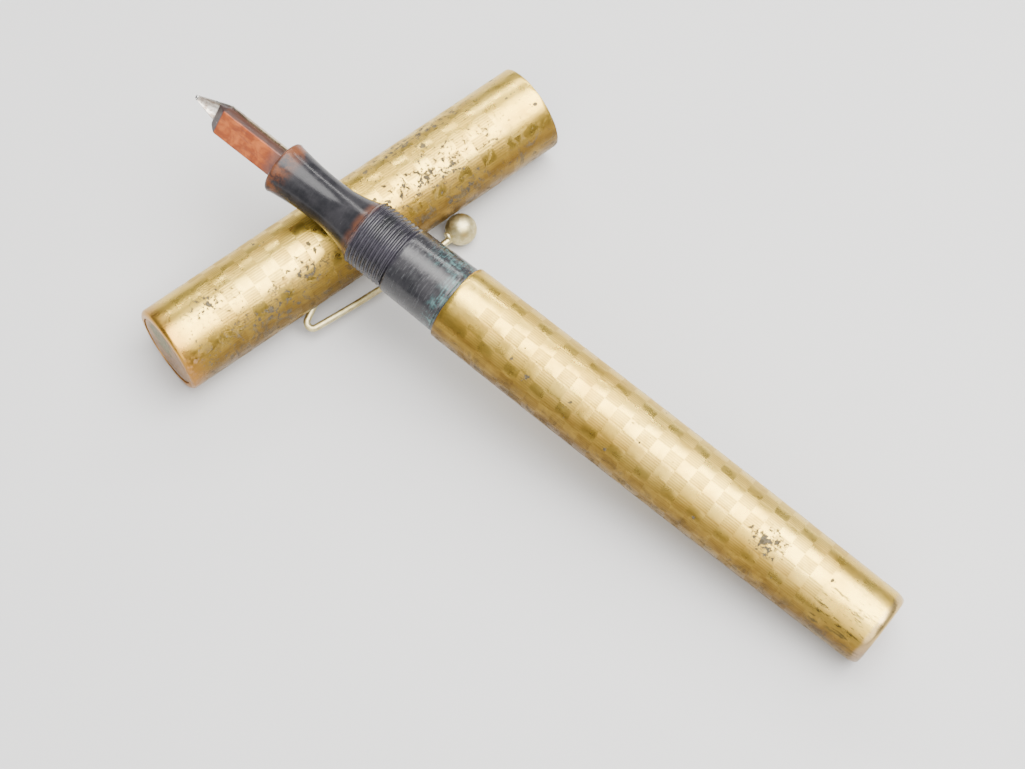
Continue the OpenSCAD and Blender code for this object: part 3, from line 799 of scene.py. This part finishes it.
def build_barrel_cover(mat):
    half = 21
    widest = cover_r(BARREL_ROUND)
    outer = arc(END_DISC_R + 0.11, 0.0, widest, BARREL_ROUND, widest, 0.0, 10)
    rows = turning_rows(BARREL_ROUND, BARREL_LEN - 0.2, BARREL_TURNING, BARREL_CELL)
    rows = sorted(set([z for z in rows if min(abs(z - s) for s in SLOT_Z) > 0.03] + list(SLOT_Z)))
    profile = [(END_DISC_R + 0.05, 0.0)] + outer[:-1] + [(cover_r(z), z) for z in rows]
    profile += [(COVER_R[1] - 0.07, BARREL_LEN - 0.06), (COVER_R[1] - 0.2, BARREL_LEN),
                (BARREL_BORE, BARREL_LEN)]
    inner_at = len(profile)
    profile += [(BARREL_BORE, z) for z in (SLOT_Z[1], SLOT_Z[0], END_WALL)] + [(END_DISC_R + 0.05, END_WALL)]
    a = next(i for i, p in enumerate(profile) if p[1] == SLOT_Z[0])
    b = next(i for i, p in enumerate(profile) if p[1] == SLOT_Z[1])
    waves = turned_radius(BARREL_TURNING, BARREL_CELL, 8.7)

    def radius(r, z, angle, c):
        return waves(r, z, angle, c) if r > BARREL_BORE + 0.1 and z > BARREL_ROUND - 0.01 else r

    shape = lathe(profile, COLS, radius=radius, angle=slot_angle(half, COLS),
                         hole=(half, (a, b), (inner_at, inner_at + 1)))
    make_piece("barrel_cover", shape, PEN, "pen", mat, ["barrel_shell"], sharp=50)


def build_end_discs(cap_mat, barrel_mat):
    """The slightly domed discs in the two closed ends."""
    def dented(seed):
        def radius(r, z, a, c):
            return r * (1 + 0.002 * math.sin(5 * a + seed))
        return radius

    crown = [(0, 0.10)]
    for r in [0.5 * i for i in range(1, 10)]:
        crown.append((r, 0.10 - 0.10 * (r / 4.8) ** 2 + 0.05 * smooth((r - 4.3) / 0.5)))
    crown += [(4.9, 0.07), (5.12, 0.14), (CROWN_R, 0.22), (CROWN_R, CAP_END_WALL), (0, CAP_END_WALL)]
    shape = lathe(crown, 96, loop=False, radius=dented(1.0))
    make_piece("cap_end_disc", shape, CAP, "cap", cap_mat, ["cap_crown"])
    disc = [(0.5 * i, 0.12) for i in range(8)] + [(4.0, 0.11), (4.3, 0.13), (4.48, 0.19)]
    disc += [(END_DISC_R, 0.27), (END_DISC_R, END_WALL), (0, END_WALL)]
    shape = lathe(disc, 96, loop=False, radius=dented(2.0))
    make_piece("barrel_disc", shape, PEN, "pen", barrel_mat, ["barrel_end_disc"])


# ---------------------------------------------------------------- hard rubber

def thread_radius(z0, z1, root, crest):
    """A right-handed helical thread between z0 and z1, faded at both ends."""
    def radius(r, z, a, c):
        if not z0 <= z <= z1 or abs(r - root) > 0.01:
            return r
        phase = (z / PITCH - a / TAU) % 1.0
        tooth = min(1.0, 1.25 * (0.5 - 0.5 * math.cos(TAU * phase)))
        fade = min(smooth((z - z0) / 0.3), smooth((z1 - z) / 0.3))
        return root + (crest - root) * tooth * fade
    return radius


def thread_rows(z0, z1, r):
    """Profile points close enough together to draw a thread."""
    n = round((z1 - z0) / (PITCH / 10))
    return [(r, z0 + (z1 - z0) * i / n) for i in range(n + 1)]


def build_barrel_body(mat):
    half, cols = 10, 144
    profile = [(0, LINER_START), (LINER_R - 0.1, LINER_START), (LINER_R, LINER_START + 0.1)]
    a = len(profile)
    profile += [(LINER_R, SLOT_Z[0]), (LINER_R, SLOT_Z[1])]
    groove_end = NECK_START + NECK_GROOVE
    first, last = groove_end + 0.07, NECK_END - 0.12
    profile += [(LINER_R, BARREL_LEN - 0.02), (NECK_GROOVE_R, BARREL_LEN),
                (NECK_GROOVE_R - 0.02, NECK_START + 0.2), (NECK_GROOVE_R, groove_end - 0.06),
                (NECK_R[0] - 0.06, groove_end), (NECK_R[0], first)]
    for i in range(1, 24):
        t = i / 24
        profile.append((NECK_R[0] + (NECK_R[1] - NECK_R[0]) * t, first + (last - first) * t))
    profile += [(NECK_R[1], last), (NECK_R[1] - 0.04, NECK_END - 0.03), (NECK_R[1] - 0.14, NECK_END)]
    profile += thread_rows(NECK_END + 0.06, THREAD_END - 0.06, THREAD_ROOT)
    profile += [(THREAD_ROOT - 0.05, THREAD_END), (LINER_BORE + 0.04, THREAD_END),
                (LINER_BORE, THREAD_END - 0.05)]
    c = len(profile)
    profile += [(LINER_BORE, SLOT_Z[1]), (LINER_BORE, SLOT_Z[0])]
    profile += [(LINER_BORE, LINER_FLOOR + 0.2), (LINER_BORE - 0.2, LINER_FLOOR), (0, LINER_FLOOR)]
    threads = thread_radius(NECK_END + 0.06, THREAD_END - 0.06, THREAD_ROOT, THREAD_R)

    def radius(r, z, a_, c_):
        if r == NECK_R[0] or (NECK_START + 0.5 < z < NECK_END - 0.2 and r > 4.9):
            return r + 0.006 * math.sin(9.1 * z) * math.sin(23.0 * z)
        return threads(r, z, a_, c_)

    shape = lathe(profile, cols, loop=False, radius=radius, angle=slot_angle(half, cols),
                         hole=(half, (a, a + 1), (c, c + 1)))
    make_piece("barrel_body", shape, PEN, "pen", mat, ["barrel_liner"], sharp=60)


def build_cap_body(mat):
    """The cap's hard-rubber body, with its inner thread and the hole of the clip's root."""
    z0, z1 = CAP_THREAD_Z
    mouth = CAP_LEN - MOUTH_LIP
    profile = [(0, CAP_LINER_START), (CAP_LINER_R - 0.1, CAP_LINER_START)]
    profile += [(CAP_LINER_R, z) for z in (CAP_LINER_START + 0.1, 18.0, 40.0, mouth - 0.1)]
    profile += [(CAP_LINER_R - 0.1, mouth), (CAP_MOUTH_BORE + 0.25, mouth),
                (CAP_MOUTH_BORE + 0.06, mouth - 0.07)]
    profile += [(CAP_MOUTH_BORE, z) for z in (mouth - 0.3, 58.0, z1 + 0.1)]
    profile += [(CAP_MOUTH_BORE - 0.1, z1), (CAP_THREAD_ROOT, z1 - 0.02)]
    profile += thread_rows(z0 + 0.05, z1 - 0.05, CAP_THREAD_ROOT)[::-1]
    profile += [(CAP_THREAD_ROOT, z0), (CAP_LINER_BORE, z0 - 0.05), (CAP_LINER_BORE, 30.0),
                (CAP_LINER_BORE, CAP_LINER_FLOOR + 0.2), (CAP_LINER_BORE - 0.2, CAP_LINER_FLOOR),
                (0, CAP_LINER_FLOOR)]
    threads = thread_radius(z0 + 0.05, z1 - 0.05, CAP_THREAD_ROOT, CAP_THREAD_MINOR)
    shape = lathe(profile, 144, loop=False, radius=threads)
    obj = make_piece("cap_body", shape, CAP, "cap", mat, ["cap_liner"], sharp=60)
    drill_clip_hole(obj, inward=2.9)


def build_inner_cap(mat):
    lo, hi = INNER_CAP_Z
    profile = [(0, lo), (INNER_CAP_R - 0.15, lo), (INNER_CAP_R, lo + 0.15), (INNER_CAP_R, hi - 0.15),
               (INNER_CAP_R - 0.12, hi), (INNER_CAP_BORE + 0.35, hi), (INNER_CAP_BORE, hi - 0.5),
               (INNER_CAP_BORE, INNER_CAP_FLOOR + 0.6), (INNER_CAP_BORE - 0.25, INNER_CAP_FLOOR + 0.15),
               (INNER_CAP_BORE - 0.8, INNER_CAP_FLOOR), (0, INNER_CAP_FLOOR)]
    shape = lathe(profile, 96, loop=False)
    make_piece("inner_cap_tube", shape, CAP, "cap", mat, ["inner_cap"])


def grip_r(u):
    """The grip's radius at a distance from its back end."""
    if u < GRIP_WAIST_AT:
        end_r, t = GRIP_R_BACK, (GRIP_WAIST_AT - u) / GRIP_WAIST_AT
    else:
        end_r, t = GRIP_R_LIP, (u - GRIP_WAIST_AT) / (GRIP_LEN - GRIP_WAIST_AT)
    return GRIP_R_WAIST + (end_r - GRIP_R_WAIST) * t ** 2


def build_grip(mat):
    z0, z1 = GRIP_Z
    profile = [(NIPPLE_BORE, NIPPLE_Z), (NIPPLE_R - 0.2, NIPPLE_Z), (NIPPLE_R, NIPPLE_Z + 0.25),
               (NIPPLE_R, TENON_Z), (TENON_R - 0.15, TENON_Z), (TENON_R, TENON_Z + 0.15), (TENON_R, z0),
               (grip_r(0) - 0.1, z0), (grip_r(0.1) - 0.01, z0 + 0.08)]
    profile += [(grip_r(u), z0 + u) for u in [0.35 * i for i in range(1, 40)]]
    profile += arc(GRIP_R_LIP - 0.02, z1 - LIP_ROUND, GRIP_R_LIP - LIP_ROUND, z1, GRIP_R_LIP, z1, 7)
    profile += [(GRIP_BORE + 0.12, z1), (GRIP_BORE, z1 - 0.12), (GRIP_BORE, GRIP_BORE_Z),
                (NIPPLE_BORE, GRIP_BORE_Z)]
    shape = lathe(profile, 128)
    make_piece("grip", shape, PEN, "pen", mat, ["grip_section"], sharp=45)


def build_feed(mat):
    """The feed: a round rod, flat below, sloping up to its nose, with an ink channel on top."""
    cols = 120
    bend = FEED_Z[1] - FEED_CHAMFER

    def ring(z):
        under = FEED_UNDER_R
        if z > NIB_SHOULDER:
            under += (FEED_NOSE_R - FEED_UNDER_R) * (z - NIB_SHOULDER) / (FEED_Z[1] - NIB_SHOULDER)
        low = FEED_R if z <= NIB_SHOULDER else under
        cut = -low - 1.0
        if z >= FLAT_START:
            cut = -FEED_FLAT
        if z > bend:
            cut = max(cut, -FEED_FLAT + (z - bend) * math.tan(FEED_SLOPE))
        mid = (max(cut, -low) + under) / 2
        pts = []
        for c in range(cols):
            a = TAU * c / cols
            dx, dy = math.cos(a), math.sin(a)
            edge = under if mid > 0 or dx > 0.05 else low
            reach = -mid * dx + math.sqrt(max(mid * mid * dx * dx - mid * mid + edge * edge, 0.0))
            if dx < 0:
                flat = (cut - mid) / dx
                # A soft meeting of the flat and the round
                k = 0.10
                h = max(k - abs(reach - flat), 0.0) / k
                reach = min(reach, flat) - h * h * k / 4
            x, y = mid + reach * dx, reach * dy
            if x > 0 and abs(y) < CHANNEL / 2:
                x = min(x, under - CHANNEL)
            pts.append((x, y, z))
        return pts

    zs = [FEED_Z[0], 86.0, 92.0, 96.0, FLAT_START - 0.02, FLAT_START + 0.02]
    zs += [101.5 + i for i in range(9)] + [bend - 0.4, bend - 0.15, bend - 0.02, bend + 0.04]
    zs += [bend + 0.2 * i for i in range(1, 7)]
    rings = [ring(z) for z in sorted(zs) if z < FEED_Z[1] - 0.05]
    last = ring(FEED_Z[1])
    cx = sum(p[0] for p in last) / cols
    rings.append([(cx + (x - cx) * 0.985, y * 0.985, z - 0.03) for x, y, z in last])
    rings.append([(cx + (x - cx) * 0.93, y * 0.93, z) for x, y, z in last])
    shape = skin(rings)
    make_piece("feed_rod", shape, NIB, "pen", mat, ["feed"], sharp=38)


def nib_half_width(z):
    """Half the nib's width, seen from above."""
    stops = [(NIB_SHOULDER - 2.6, 2.41), (NIB_SHOULDER - 0.4, 2.37), (NIB_SHOULDER + 0.6, 2.05),
             (NIB_SHOULDER + 1.7, 1.56), (NIB_SHOULDER + 2.9, 1.14), (NIB_SHOULDER + 4.0, 0.76),
             (NIB_Z[1], 0.42)]
    if z < stops[0][0]:
        return stops[0][1]
    for (za, wa), (zb, wb) in zip(stops, stops[1:]):
        if z <= zb:
            return wa + (wb - wa) * (z - za) / (zb - za)
    return stops[-1][1]


def build_nib(mat):
    """A curved sheet with its shoulders, breather hole and slit."""
    rows = [NIB_Z[0] + i * 1.2 for i in range(14)] + [107.4 + 0.25 * i for i in range(35)]
    rows = [z for z in rows if z < NIB_Z[1] - 0.05] + [NIB_Z[1]]
    side = 13
    verts, index = [], {}
    for i, z in enumerate(rows):
        tapered = max(z - NIB_SHOULDER, 0.0) / (NIB_Z[1] - NIB_SHOULDER)
        rad = NIB_R - (NIB_R - NIB_CONE_R) * tapered
        limit = min(NIB_HALF, math.asin(min(nib_half_width(z) / rad, 0.9945)))
        slit = SLIT_W / 2 / rad * (1.0 if z < 114.2 else 0.55)
        for j in range(-side, side + 1):
            if j == 0:
                continue
            t = (abs(j) - 1) / (side - 1)
            a = math.copysign(slit + (limit - slit) * t, j)
            index[i, j] = len(verts)
            verts.append((rad * math.cos(a), rad * math.sin(a), z))
    faces = []
    order = [j for j in range(-side, side + 1) if j]
    for i in range(len(rows) - 1):
        for ja, jb in zip(order, order[1:]):
            if (ja, jb) == (-1, 1) and rows[i] >= BREATHER_Z - 0.2:
                continue
            faces.append([index[i, ja], index[i, jb], index[i + 1, jb], index[i + 1, ja]])
    obj = make_piece("nib_sheet", (verts, faces), NIB, "pen", mat, ["nib"], closed=False)
    solid = obj.modifiers.new("thickness", "SOLIDIFY")
    solid.thickness, solid.offset, solid.use_even_offset = NIB_T * MM, -1.0, True
    mesh = evaluated_mesh(obj)
    obj.modifiers.clear()
    obj.data = mesh
    subtract(obj, rod("cut_breather", (1.0, 0, BREATHER_Z), (4.0, 0, BREATHER_Z), BREATHER_R, NIB))
    shade(obj, 45)


def build_tip(mat):
    """The hard pellet on the tines, with the slit marked in it."""
    rings = []
    rows = 16
    cut = NIB_Z[1] + 0.03
    for i in range(rows + 1):
        t = i / rows
        z = cut + (TIP_Z + TIP_R - cut) * math.sin(t * math.pi / 2)
        r = math.sqrt(max(TIP_R ** 2 - (z - TIP_Z) ** 2, 0.0))
        if i == rows:
            rings.append([(TIP_X, 0.0, TIP_Z + TIP_R)])
            continue
        ring = []
        for c in range(48):
            a = TAU * c / 48
            x, y = r * math.cos(a), r * math.sin(a)
            if abs(y) < 0.045:
                x *= 0.86
            ring.append((TIP_X + x, y, z))
        rings.append(ring)
    shape = skin(rings)
    make_piece("nib_pellet", shape, NIB, "pen", mat, ["nib_tip"], sharp=30)


# ---------------------------------------------------------------- clip

def wire_path():
    """The wire's centre line in the cap's XZ plane: from inside the wall, round the bend, to the ball."""
    pts = [Vector((5.75, 0, 20.987)), Vector((6.3, 0, 20.03)), Vector((ROOT_X - 0.12, 0, ROOT_Z + 0.21))]
    bend_x, bend_z, bend_r = 7.85, 19.05, 0.85
    for i in range(13):
        a = math.radians(210 + (360 - 210 + 2) * i / 12)
        pts.append(Vector((bend_x + bend_r * math.cos(a), 0, bend_z + bend_r * math.sin(a))))
    for i in range(1, 21):
        t = i / 20
        z = 19.1 + (42.4 - 19.1) * t
        x = 8.70 + 0.32 * t + 0.46 * math.sin(math.pi * t) * (1 - 0.15 * t)
        pts.append(Vector((x, 0, z)))
    return pts


def build_wire(mat):
    pts = wire_path()
    rings = []
    for i, p in enumerate(pts):
        d = (pts[min(i + 1, len(pts) - 1)] - pts[max(i - 1, 0)]).normalized()
        rings.append(ring_about(p, WIRE_R - 0.02, Vector((d.z, 0, -d.x)), Vector((0, 1, 0)), 28))
    first = [tuple(pts[0] + (Vector(v) - pts[0]) * 0.7 + Vector((-0.03, 0, 0.05))) for v in rings[0]]
    shape = skin([first] + rings)
    make_piece("clip_rod", shape, CAP, "clip", mat, ["clip_wire"], sharp=50)


def build_ball(mat):
    """The ball, with a small collar where the wire runs into it."""
    wire_dir = Vector((-0.06, 0, -1)).normalized()
    x_dir = Vector((wire_dir.z, 0, -wire_dir.x))
    y_dir = Vector((0, 1, 0))
    centre = Vector((BALL_X, 0, BALL_Z))
    collar_r, collar_h = 0.78, 0.18
    start = math.asin((collar_r + 0.08) / BALL_R)
    profile = [(0.0, BALL_R + collar_h), (collar_r - 0.10, BALL_R + collar_h),
               (collar_r, BALL_R + collar_h - 0.09), (collar_r, BALL_R * math.cos(start) + 0.05)]
    for i in range(37):
        t = start + (math.pi - start) * i / 36
        profile.append((BALL_R * math.sin(t), BALL_R * math.cos(t)))
    rings = []
    for r, h in profile:
        mid = centre + wire_dir * h
        rings.append(ring_about(mid, r, x_dir, y_dir, 64) if r > 1e-6 else [tuple(mid)])
    shape = skin(rings)
    make_piece("clip_bead", shape, CAP, "clip", mat, ["clip_ball"], sharp=35)


def rounded_plate(w, length, corner):
    """Outline of a plate w wide and length long, with rounded corners, centred on its own middle."""
    pts, steps = [], 6
    at_y, at_z = w / 2 - corner, length / 2 - corner
    for k, (sx, sy) in enumerate(((1, 1), (-1, 1), (-1, -1), (1, -1))):
        for i in range(steps + 1):
            a = math.pi / 2 * (k + i / steps)
            pts.append((sx * at_y + corner * math.cos(a), sy * at_z + corner * math.sin(a)))
    return pts


def plate(name, outline, x_low, x_high, z_mid, bevel, place, body, mat, nodes):
    """A plate lying at a constant X, with bevelled edges."""
    rings = []
    for x, inset in ((x_low, bevel), (x_low + bevel, 0), (x_high - bevel, 0), (x_high, bevel)):
        rings.append([(x, y * (1 - inset / 2), z_mid + z - math.copysign(inset, z)) for y, z in outline])
    shape = skin(rings)
    make_piece(name, shape, place, body, mat, nodes)


def build_anchor(mat):
    z_mid = (ANCHOR_Z[0] + ANCHOR_Z[1]) / 2
    outline = rounded_plate(ANCHOR_W, ANCHOR_Z[1] - ANCHOR_Z[0], 0.6)
    plate("clip_washer", outline, ANCHOR_X, ANCHOR_X + ANCHOR_T, z_mid, 0.05, CAP, "cap", mat,
          ["clip_anchor"])


# ---------------------------------------------------------------- filler

def build_lever(mat):
    """The lever: a crowned arm with a rounded finger end, a hub on its pin, and a tail that works the bar."""
    def span(z):
        """(bottom, top, half width) at a distance z from the pin."""
        half = LEVER_W / 2
        lows, highs = [], []
        if abs(z) < HUB_R:
            d = math.sqrt(HUB_R ** 2 - z * z)
            lows.append(LEVER_X - d)
            highs.append(LEVER_X + d)
        if z < 0:
            over = min(0.0, z + TAIL_LEN)
            d = math.sqrt(max(TAIL_R ** 2 - over * over, 1e-4))
            lows.append(LEVER_X - d)
            highs.append(LEVER_X + d)
        if z > -0.05:
            lows.append(LEVER_TOP - LEVER_T)
            rise = smooth((z + 0.05) / 0.4)
            highs.append(LEVER_TOP - 0.5 * (1 - rise))
            end = LEVER_LEN - half
            waist = 1.0 - 0.20 * smooth((z - 1.5) / 3.0) * (1 - smooth((z - 17.0) / 3.2))
            half *= waist
            if z > end:
                half = math.sqrt(max((LEVER_W / 2) ** 2 - (z - end) ** 2, 1e-4))
                # The finger end is scooped below so that a nail can catch it
                lows[-1] += 0.30 * smooth((z - end) / 0.9)
        return min(lows), max(highs), half

    zs = [-TAIL_LEN - TAIL_R * math.sin(t) for t in (1.52, 1.35, 1.1, 0.8, 0.4)] + [-TAIL_LEN, -1.8, -1.2]
    zs += [-0.84 + 0.07 * i for i in range(25)] + [1.2 + 0.6 * i for i in range(34)]
    end = LEVER_LEN - LEVER_W / 2
    round_end = [end + LEVER_W / 2 * math.sin(t) for t in (0, 0.3, 0.6, 0.85, 1.05, 1.25, 1.4, 1.52)]
    zs = [z for z in zs if z < end] + round_end
    rings = []
    for z in sorted(zs):
        low, high, half = span(z)
        ring = []
        edge = min(0.14, half * 0.5, (high - low) * 0.4)
        cols = 10
        # Crowned top, from one side to the other, then down, back along the bottom, and up
        for i in range(cols + 1):
            y = -(half - edge) + 2 * (half - edge) * i / cols
            crown = (LEVER_TOP - math.sqrt(LEVER_TOP ** 2 - y * y))
            ring.append((high - crown, y, z))
        top = high - (LEVER_TOP - math.sqrt(LEVER_TOP ** 2 - half * half))
        eased = edge * 0.3
        side = [(top - eased, half - eased), (top - edge, half), (low + edge, half),
                (low + eased, half - eased), (low, half - edge)]
        ring += [(x, y, z) for x, y in side] + [(low, 0.0, z)] + [(x, -y, z) for x, y in side[::-1]]
        rings.append([(x, y, LEVER_Z + zz) for x, y, zz in ring])
    shape = skin(rings)
    obj = make_piece("lever_arm_bar", shape, PEN, "lever_arm", mat, ["lever"], sharp=42)
    subtract(obj, rod("cut_pin", (LEVER_X, -3, LEVER_Z), (LEVER_X, 3, LEVER_Z), PIN_HOLE_R, PEN))


def build_pin(mat):
    half = PIN_LEN / 2
    rows = [(-half, 0.6), (-half + 0.05, 0.88), (-half + 0.12, 1.0), (half - 0.12, 1.0),
            (half - 0.05, 0.88), (half, 0.6)]
    x, z = Vector((1, 0, 0)), Vector((0, 0, 1))
    rings = [ring_about(Vector((LEVER_X, y, LEVER_Z)), PIN_R * k, x, z, 32) for y, k in rows]
    shape = skin(rings)
    make_piece("lever_axle", shape, PEN, "pen", mat, ["lever_pin"])


def build_pressure_bar(mat):
    z_mid = (BAR_Z[0] + BAR_Z[1]) / 2
    outline = rounded_plate(BAR_W, BAR_Z[1] - BAR_Z[0], 1.1)
    plate("sac_bar", outline, BAR_X + 0.03, BAR_X + BAR_T, z_mid, 0.08, PEN, "bar", mat,
          ["pressure_bar"])


def build_spring(mat):
    """The bar's spring: one strip with two legs and a half-round bend between the barrel and the bar."""
    r = SPRING_R - SPRING_T / 2
    line = [(SPRING_MID + r, SPRING_Z + SPRING_LEGS[0] * (1 - i / 9)) for i in range(9)]
    for i in range(25):
        a = math.pi * i / 24
        line.append((SPRING_MID + r * math.cos(a), SPRING_Z - r * math.sin(a)))
    line += [(SPRING_MID - r, SPRING_Z + SPRING_LEGS[1] * i / 7) for i in range(1, 8)]
    k = 0.86
    section = ((1, k), (k, 1), (-k, 1), (-1, k), (-1, -k), (-k, -1), (k, -1), (1, -k))
    rings = []
    for i, (x, z) in enumerate(line):
        xa, za = line[max(i - 1, 0)]
        xb, zb = line[min(i + 1, len(line) - 1)]
        d = Vector((xb - xa, 0, zb - za)).normalized()
        n = Vector((d.z, 0, -d.x)) * SPRING_T / 2
        p = Vector((x, 0, z))
        w = Vector((0, SPRING_W / 2, 0))
        rings.append([tuple(p + n * s + w * t) for s, t in section])
    shape = skin(rings)
    obj = make_piece("bar_spring_strip", shape, PEN, None, mat, [], sharp=35)
    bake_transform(obj)
    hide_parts("bar_spring")


def build_sac(mat):
    """The ink sac: a round body, and a neck that sits on the grip's nipple."""
    def soft(r, z, a, c):
        wave = 0.006 * math.sin(3 * a + z * 0.4) + 0.004 * math.sin(0.9 * z)
        return r * (1 + wave) if 2.0 < r < SAC_R + 0.01 else r

    def rounded(r):
        """The sac's closed end at a radius, from its axis outwards."""
        turns = [math.pi / 2 * i / 10 for i in range(11)]
        return [(r * math.sin(t), SAC_Z[0] + SAC_R - r * math.cos(t)) for t in turns]

    inner = SAC_R - SAC_T
    body = rounded(SAC_R) + [(SAC_R, 22 + 2.0 * i) for i in range(24)]
    body += [(SAC_R, SAC_NECK_Z), (inner, SAC_NECK_Z)] + rounded(inner)[::-1]
    shape = lathe(body, 72, loop=False, radius=soft)
    obj = make_piece("sac_tube", shape, PEN, "pen", mat, ["ink_sac"])
    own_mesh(obj)
    neck = [(SAC_R, SAC_NECK_Z + 0.02), (SAC_R, 76.9), (SAC_R + 0.06, 77.2), (SAC_R, SAC_Z[1] - 0.1),
            (SAC_R - 0.1, SAC_Z[1]), (inner, SAC_Z[1]), (inner, SAC_NECK_Z + 0.02)]
    shape = lathe(neck, 72)
    make_piece("sac_neck", shape, PEN, "pen", mat, ["ink_sac"])


def dress_lever_box(mat):
    """The lever box keeps its CAD solid, with its rim eased and a worn finish."""
    obj = frame["nodes"]["lever_box"]
    obj.data.materials.clear()
    obj.data.materials.append(mat)
    ease = obj.modifiers.new("ease", "BEVEL")
    ease.width, ease.segments, ease.limit_method, ease.angle_limit = 0.05 * MM, 2, "ANGLE", math.radians(50)


# ---------------------------------------------------------------- stage

def floor_material():
    s = Shade("floor_paper")
    tone = s.mix(s.noise(0.02, 3.0), (0.50, 0.50, 0.505), (0.54, 0.54, 0.54))
    return s.finish(Base_Color=tone, Roughness=0.7, Normal=s.bump(s.noise(1.2, 4.0, 0.6), 0.02))


def build_floor():
    """A large pale floor."""
    size, cells, just_below = 3.0, 12, -0.00002
    lines = [-size + 2 * size * i / cells for i in range(cells + 1)]
    verts = [(x, y, just_below) for y in lines for x in lines]
    w = cells + 1
    corners = [j * w + i for j in range(cells) for i in range(cells)]
    faces = [[k, k + 1, k + w + 1, k + w] for k in corners]
    mesh = bpy.data.meshes.new("floor")
    mesh.from_pydata(verts, [], faces)
    obj = add_object("floor", mesh)
    mesh.materials.append(floor_material())


def area_light(name, aim, direction, distance, size, watts, colour):
    data = bpy.data.lights.new(name, "AREA")
    data.shape = "RECTANGLE"
    data.size, data.size_y = size
    data.energy = watts
    data.color = colour
    obj = add_object(name, data)
    d = Vector(direction).normalized()
    obj.location = Vector(aim) + d * distance
    obj.rotation_euler = d.to_track_quat("Z", "Y").to_euler()


def build_lights():
    world = bpy.data.worlds.new("studio")
    bpy.context.scene.world = world
    world.use_nodes = True
    back = world.node_tree.nodes["Background"]
    back.inputs[0].default_value = (0.80, 0.82, 0.86, 1)
    back.inputs[1].default_value = 0.50
    aim = (0, 0, 0.006)
    area_light("key", aim, (0.17, 0.24, 0.95), 0.60, (0.60, 0.64), 15.5, (1.0, 0.985, 0.96))
    area_light("fill", aim, (0.60, -0.52, 0.61), 0.80, (0.80, 0.80), 6.6, (1.0, 0.98, 0.95))
    area_light("strip", aim, (-0.58, 0.52, 0.60), 0.60, (0.62, 0.05), 2.2, (1.0, 0.98, 0.95))


def build_camera():
    """The camera stands at the photograph's angle: 52.1 degrees round, 65 degrees up."""
    azimuth, elevation, distance = math.radians(52.13), math.radians(65), 0.3290
    target = CAP.translation + Vector((30.35, 35.62, -6.15)) * MM
    flat = math.cos(elevation)
    out = Vector((math.sin(azimuth) * flat, -math.cos(azimuth) * flat, math.sin(elevation)))
    data = bpy.data.cameras.new("camera")
    data.sensor_width, data.lens, data.clip_start, data.clip_end = 36.0, 84.3, 0.01, 20.0
    obj = add_object("camera", data)
    obj.location = target + out * distance
    obj.rotation_euler = out.to_track_quat("Z", "Y").to_euler()
    bpy.context.scene.camera = obj


build_camera()
build_lights()
build_floor()

build_cap_cover(cap_gold())
build_barrel_cover(barrel_gold())
build_end_discs(tarnished_bronze("bronze_cap_end", 0.9, (polar(2.2, -150, 0.1), 2.6)),
                tarnished_bronze("bronze_barrel_end", 0.4))
neck_rubber = hard_rubber("hard_rubber_barrel", verdigris=(70.4, 72.2), brown=[(85.9, 86.6, 0.3, 0.6)],
                          purple=(79.4, 86.4), grey=0.30)
grip_rubber = hard_rubber("hard_rubber_grip", brown=[(98.6, 101.5, 1.2, 0.9), (86.2, 87.0, 0.6, 0.5)],
                          grey=0.05, relief=0.004, shine=0.26)
cap_rubber = hard_rubber("hard_rubber_cap", brown=[(58.0, 63.0, 2.0, 0.4)], grey=0.3)
build_barrel_body(neck_rubber)
build_grip(grip_rubber)
build_cap_body(cap_rubber)
build_inner_cap(cap_rubber)
build_feed(feed_rubber("feed_rubber_ink"))
build_nib(nib_metal("nib_metal_worn"))
build_tip(grey_metal("tip_metal_ground", (0.86, 0.85, 0.82), (0.62, 0.60, 0.57), (0.15, 0.28)))
gilt = clip_metal("clip_metal_worn")
build_wire(gilt)
build_ball(gilt)
dull_bronze = tarnished_bronze("bronze_dull", 0.5)
build_anchor(dull_bronze)
dress_lever_box(dull_bronze)
build_lever(plain_gold("gold_cover_lever"))
steel = grey_metal("steel_spring", (0.62, 0.61, 0.58), (0.36, 0.34, 0.31), (0.25, 0.45))
build_pin(steel)
build_pressure_bar(steel)
build_spring(steel)
build_sac(sac_rubber("sac_rubber_soft"))
